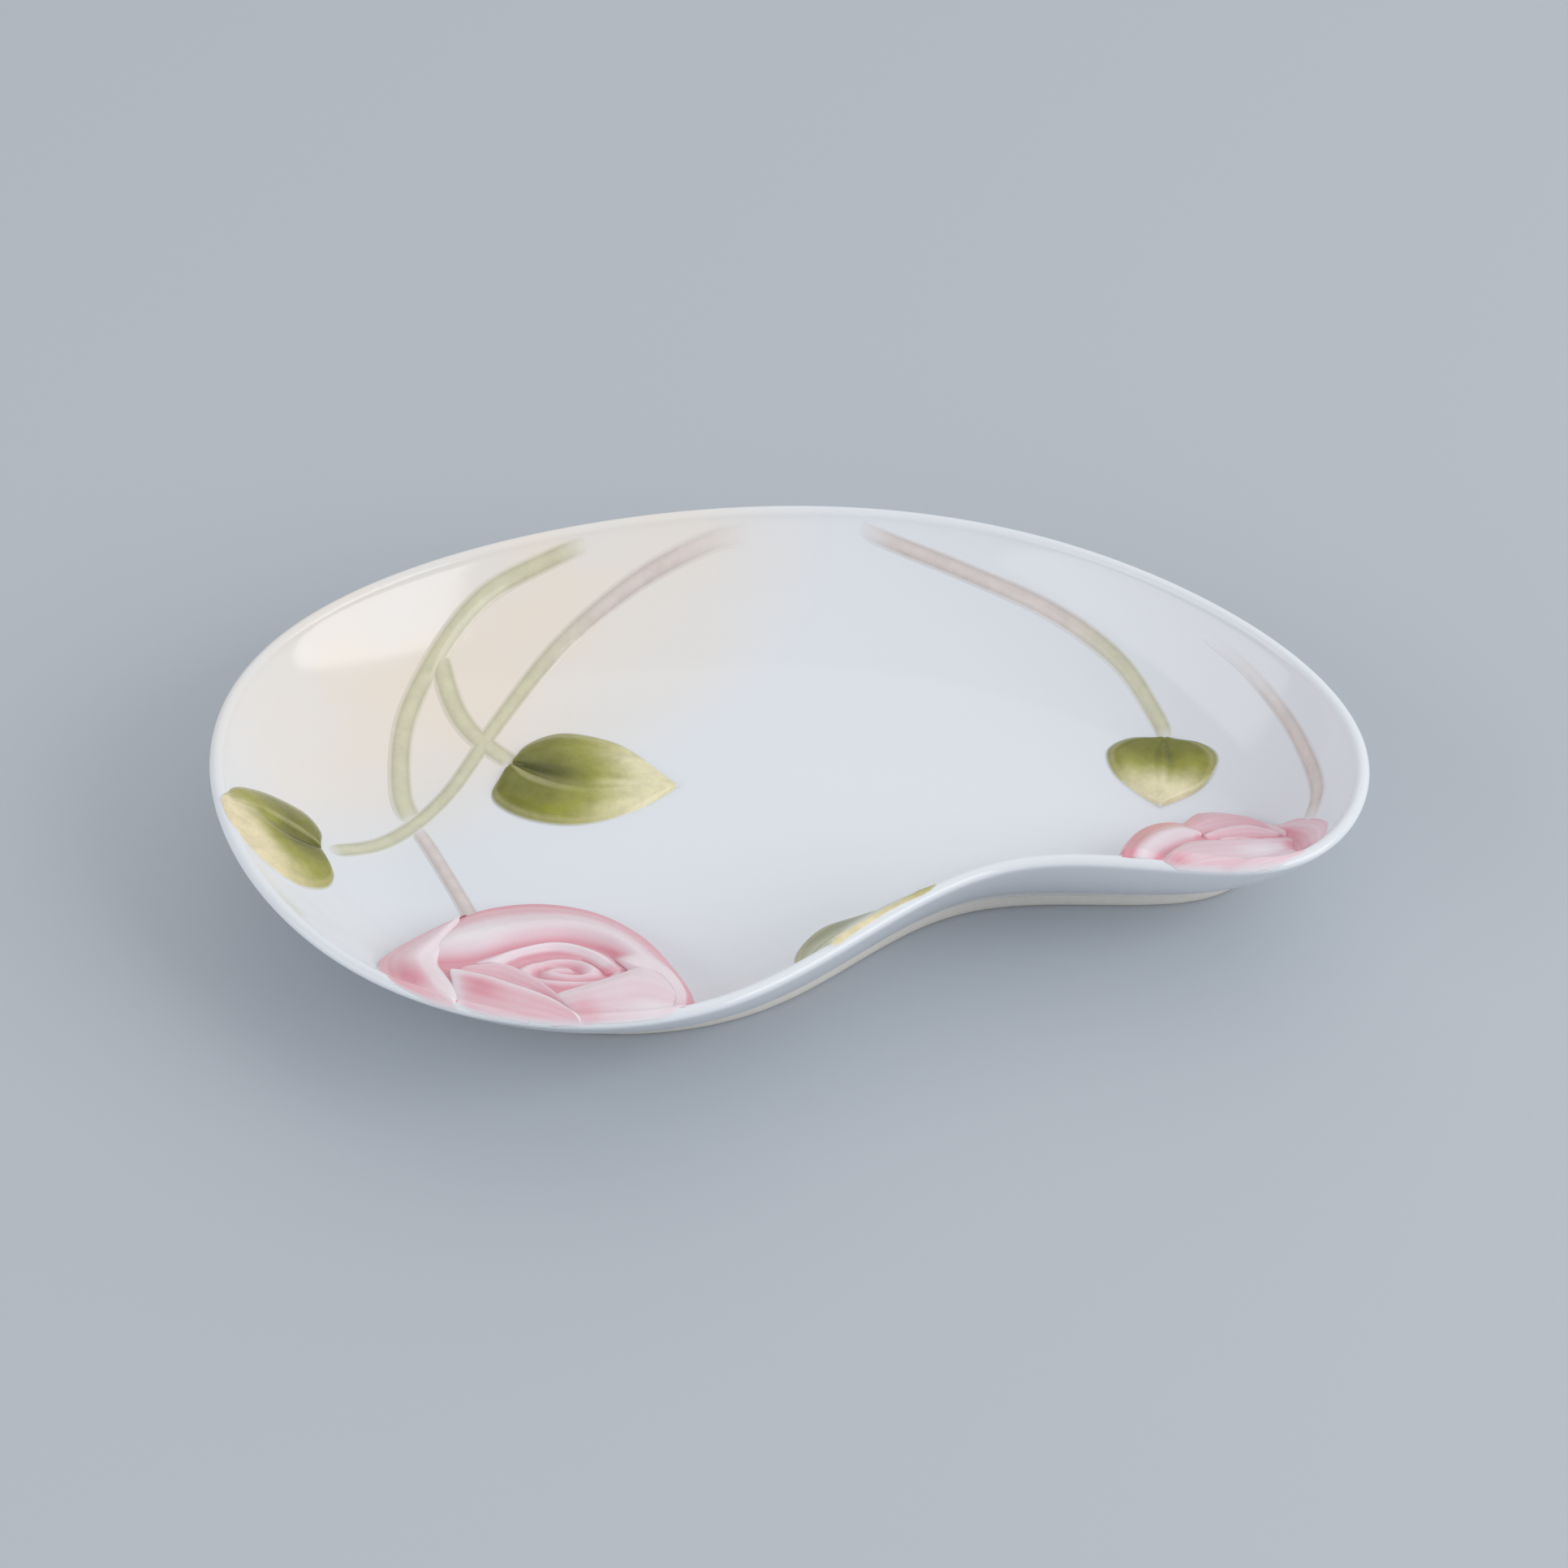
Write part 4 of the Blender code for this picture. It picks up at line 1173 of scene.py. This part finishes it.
class SAUCER_OT_stage(bpy.types.Operator):
    """Sets up the table, the lights and the camera"""

    bl_idname = "saucer.stage"
    bl_label = "Stage"

    def execute(self, context):
        studio = context.scene.saucer_studio
        self.floor(studio)
        self.sky(context, studio)
        middle = Vector(studio.target)
        for name, lamp in LAMPS.items():
            self.soft_box(name, lamp, middle, getattr(studio, name + "_power"))
        self.camera(context, studio, middle)
        return {"FINISHED"}

    def floor(self, studio):
        """A plain pale table."""
        mesh = bmesh.new()
        bmesh.ops.create_grid(mesh, x_segments=1, y_segments=1, size=TABLE_REACH)
        data = bpy.data.meshes.new("table")
        mesh.to_mesh(data)
        mesh.free()
        nodes = Nodes("matt_table")
        nodes.feed(nodes.shader, {"Base Color": (*studio.floor, 1), "Roughness": 0.65})
        data.materials.append(nodes.material)
        table = bpy.data.objects.new("table", data)
        bpy.context.scene.collection.objects.link(table)
        table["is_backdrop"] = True

    def sky(self, context, studio):
        """Even light from all sides."""
        world = bpy.data.worlds.new("studio")
        world.use_nodes = True
        background = world.node_tree.nodes["Background"]
        background.inputs["Color"].default_value = (*studio.sky, 1)
        background.inputs["Strength"].default_value = studio.sky_strength
        context.scene.world = world

    def soft_box(self, name, drawn, target, power):
        """A rectangular lamp turned to the dish and rolled about its own axis."""
        lamp = bpy.data.lights.new(name, "AREA")
        lamp.shape = "RECTANGLE"
        lamp.size, lamp.size_y = drawn.size
        lamp.energy = power
        box = bpy.data.objects.new(name, lamp)
        box.location = drawn.place
        aim = (target - box.location).to_track_quat("-Z", "Y")
        box.rotation_euler = (aim @ Quaternion((0, 0, 1), drawn.roll)).to_euler()
        bpy.context.scene.collection.objects.link(box)

    def camera(self, context, studio, target):
        """The camera at the picture's viewing angle."""
        lens = bpy.data.cameras.new("camera")
        lens.angle = studio.field
        lens.clip_start = studio.distance / 100
        camera = bpy.data.objects.new("camera", lens)
        back = Vector((0, -math.cos(studio.elevation), math.sin(studio.elevation)))
        camera.location = target + back * studio.distance
        camera.rotation_euler = (-back).to_track_quat("-Z", "Y").to_euler()
        context.scene.collection.objects.link(camera)
        context.scene.camera = camera
        context.scene.view_settings.view_transform = "Standard"


class SAUCER_PT_sidebar(bpy.types.Panel):
    """Lists the saucer's pieces, sizes and colours"""

    bl_idname = "SAUCER_PT_sidebar"
    bl_label = "Rose Saucer"
    bl_space_type = "VIEW_3D"
    bl_region_type = "UI"
    bl_category = "Saucer"

    def draw(self, context):
        for operator in PIECES:
            self.layout.operator(operator.bl_idname)
        for group_name, group in GROUPS.items():
            box = self.layout.box()
            for name in group.__annotations__:
                box.prop(getattr(context.scene, group_name), name)


GROUPS = {"saucer_sizes": SaucerSizes, "saucer_colours": SaucerColours, "saucer_studio": SaucerStudio}
PIECES = (
    SAUCER_OT_dish, SAUCER_OT_foot_ring, SAUCER_OT_stems, SAUCER_OT_leaves, SAUCER_OT_roses, SAUCER_OT_stage,
)
CLASSES = (*GROUPS.values(), *PIECES, SAUCER_PT_sidebar)


def register():
    for made in CLASSES:
        bpy.utils.register_class(made)
    for name, group in GROUPS.items():
        setattr(bpy.types.Scene, name, PointerProperty(type=group))


def unregister():
    for name in GROUPS:
        delattr(bpy.types.Scene, name)
    for made in reversed(CLASSES):
        bpy.utils.unregister_class(made)


def main():
    register()
    bpy.ops.saucer.dish()
    bpy.ops.saucer.foot_ring()
    bpy.ops.saucer.stems()
    bpy.ops.saucer.leaves()
    bpy.ops.saucer.roses()
    bpy.ops.saucer.stage()
    boxes = {"cad": CAD_BOX, "visual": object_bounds()}
    {name: [list(corner) for corner in box] for name, box in boxes.items()}


if __name__ == "__main__":
    main()
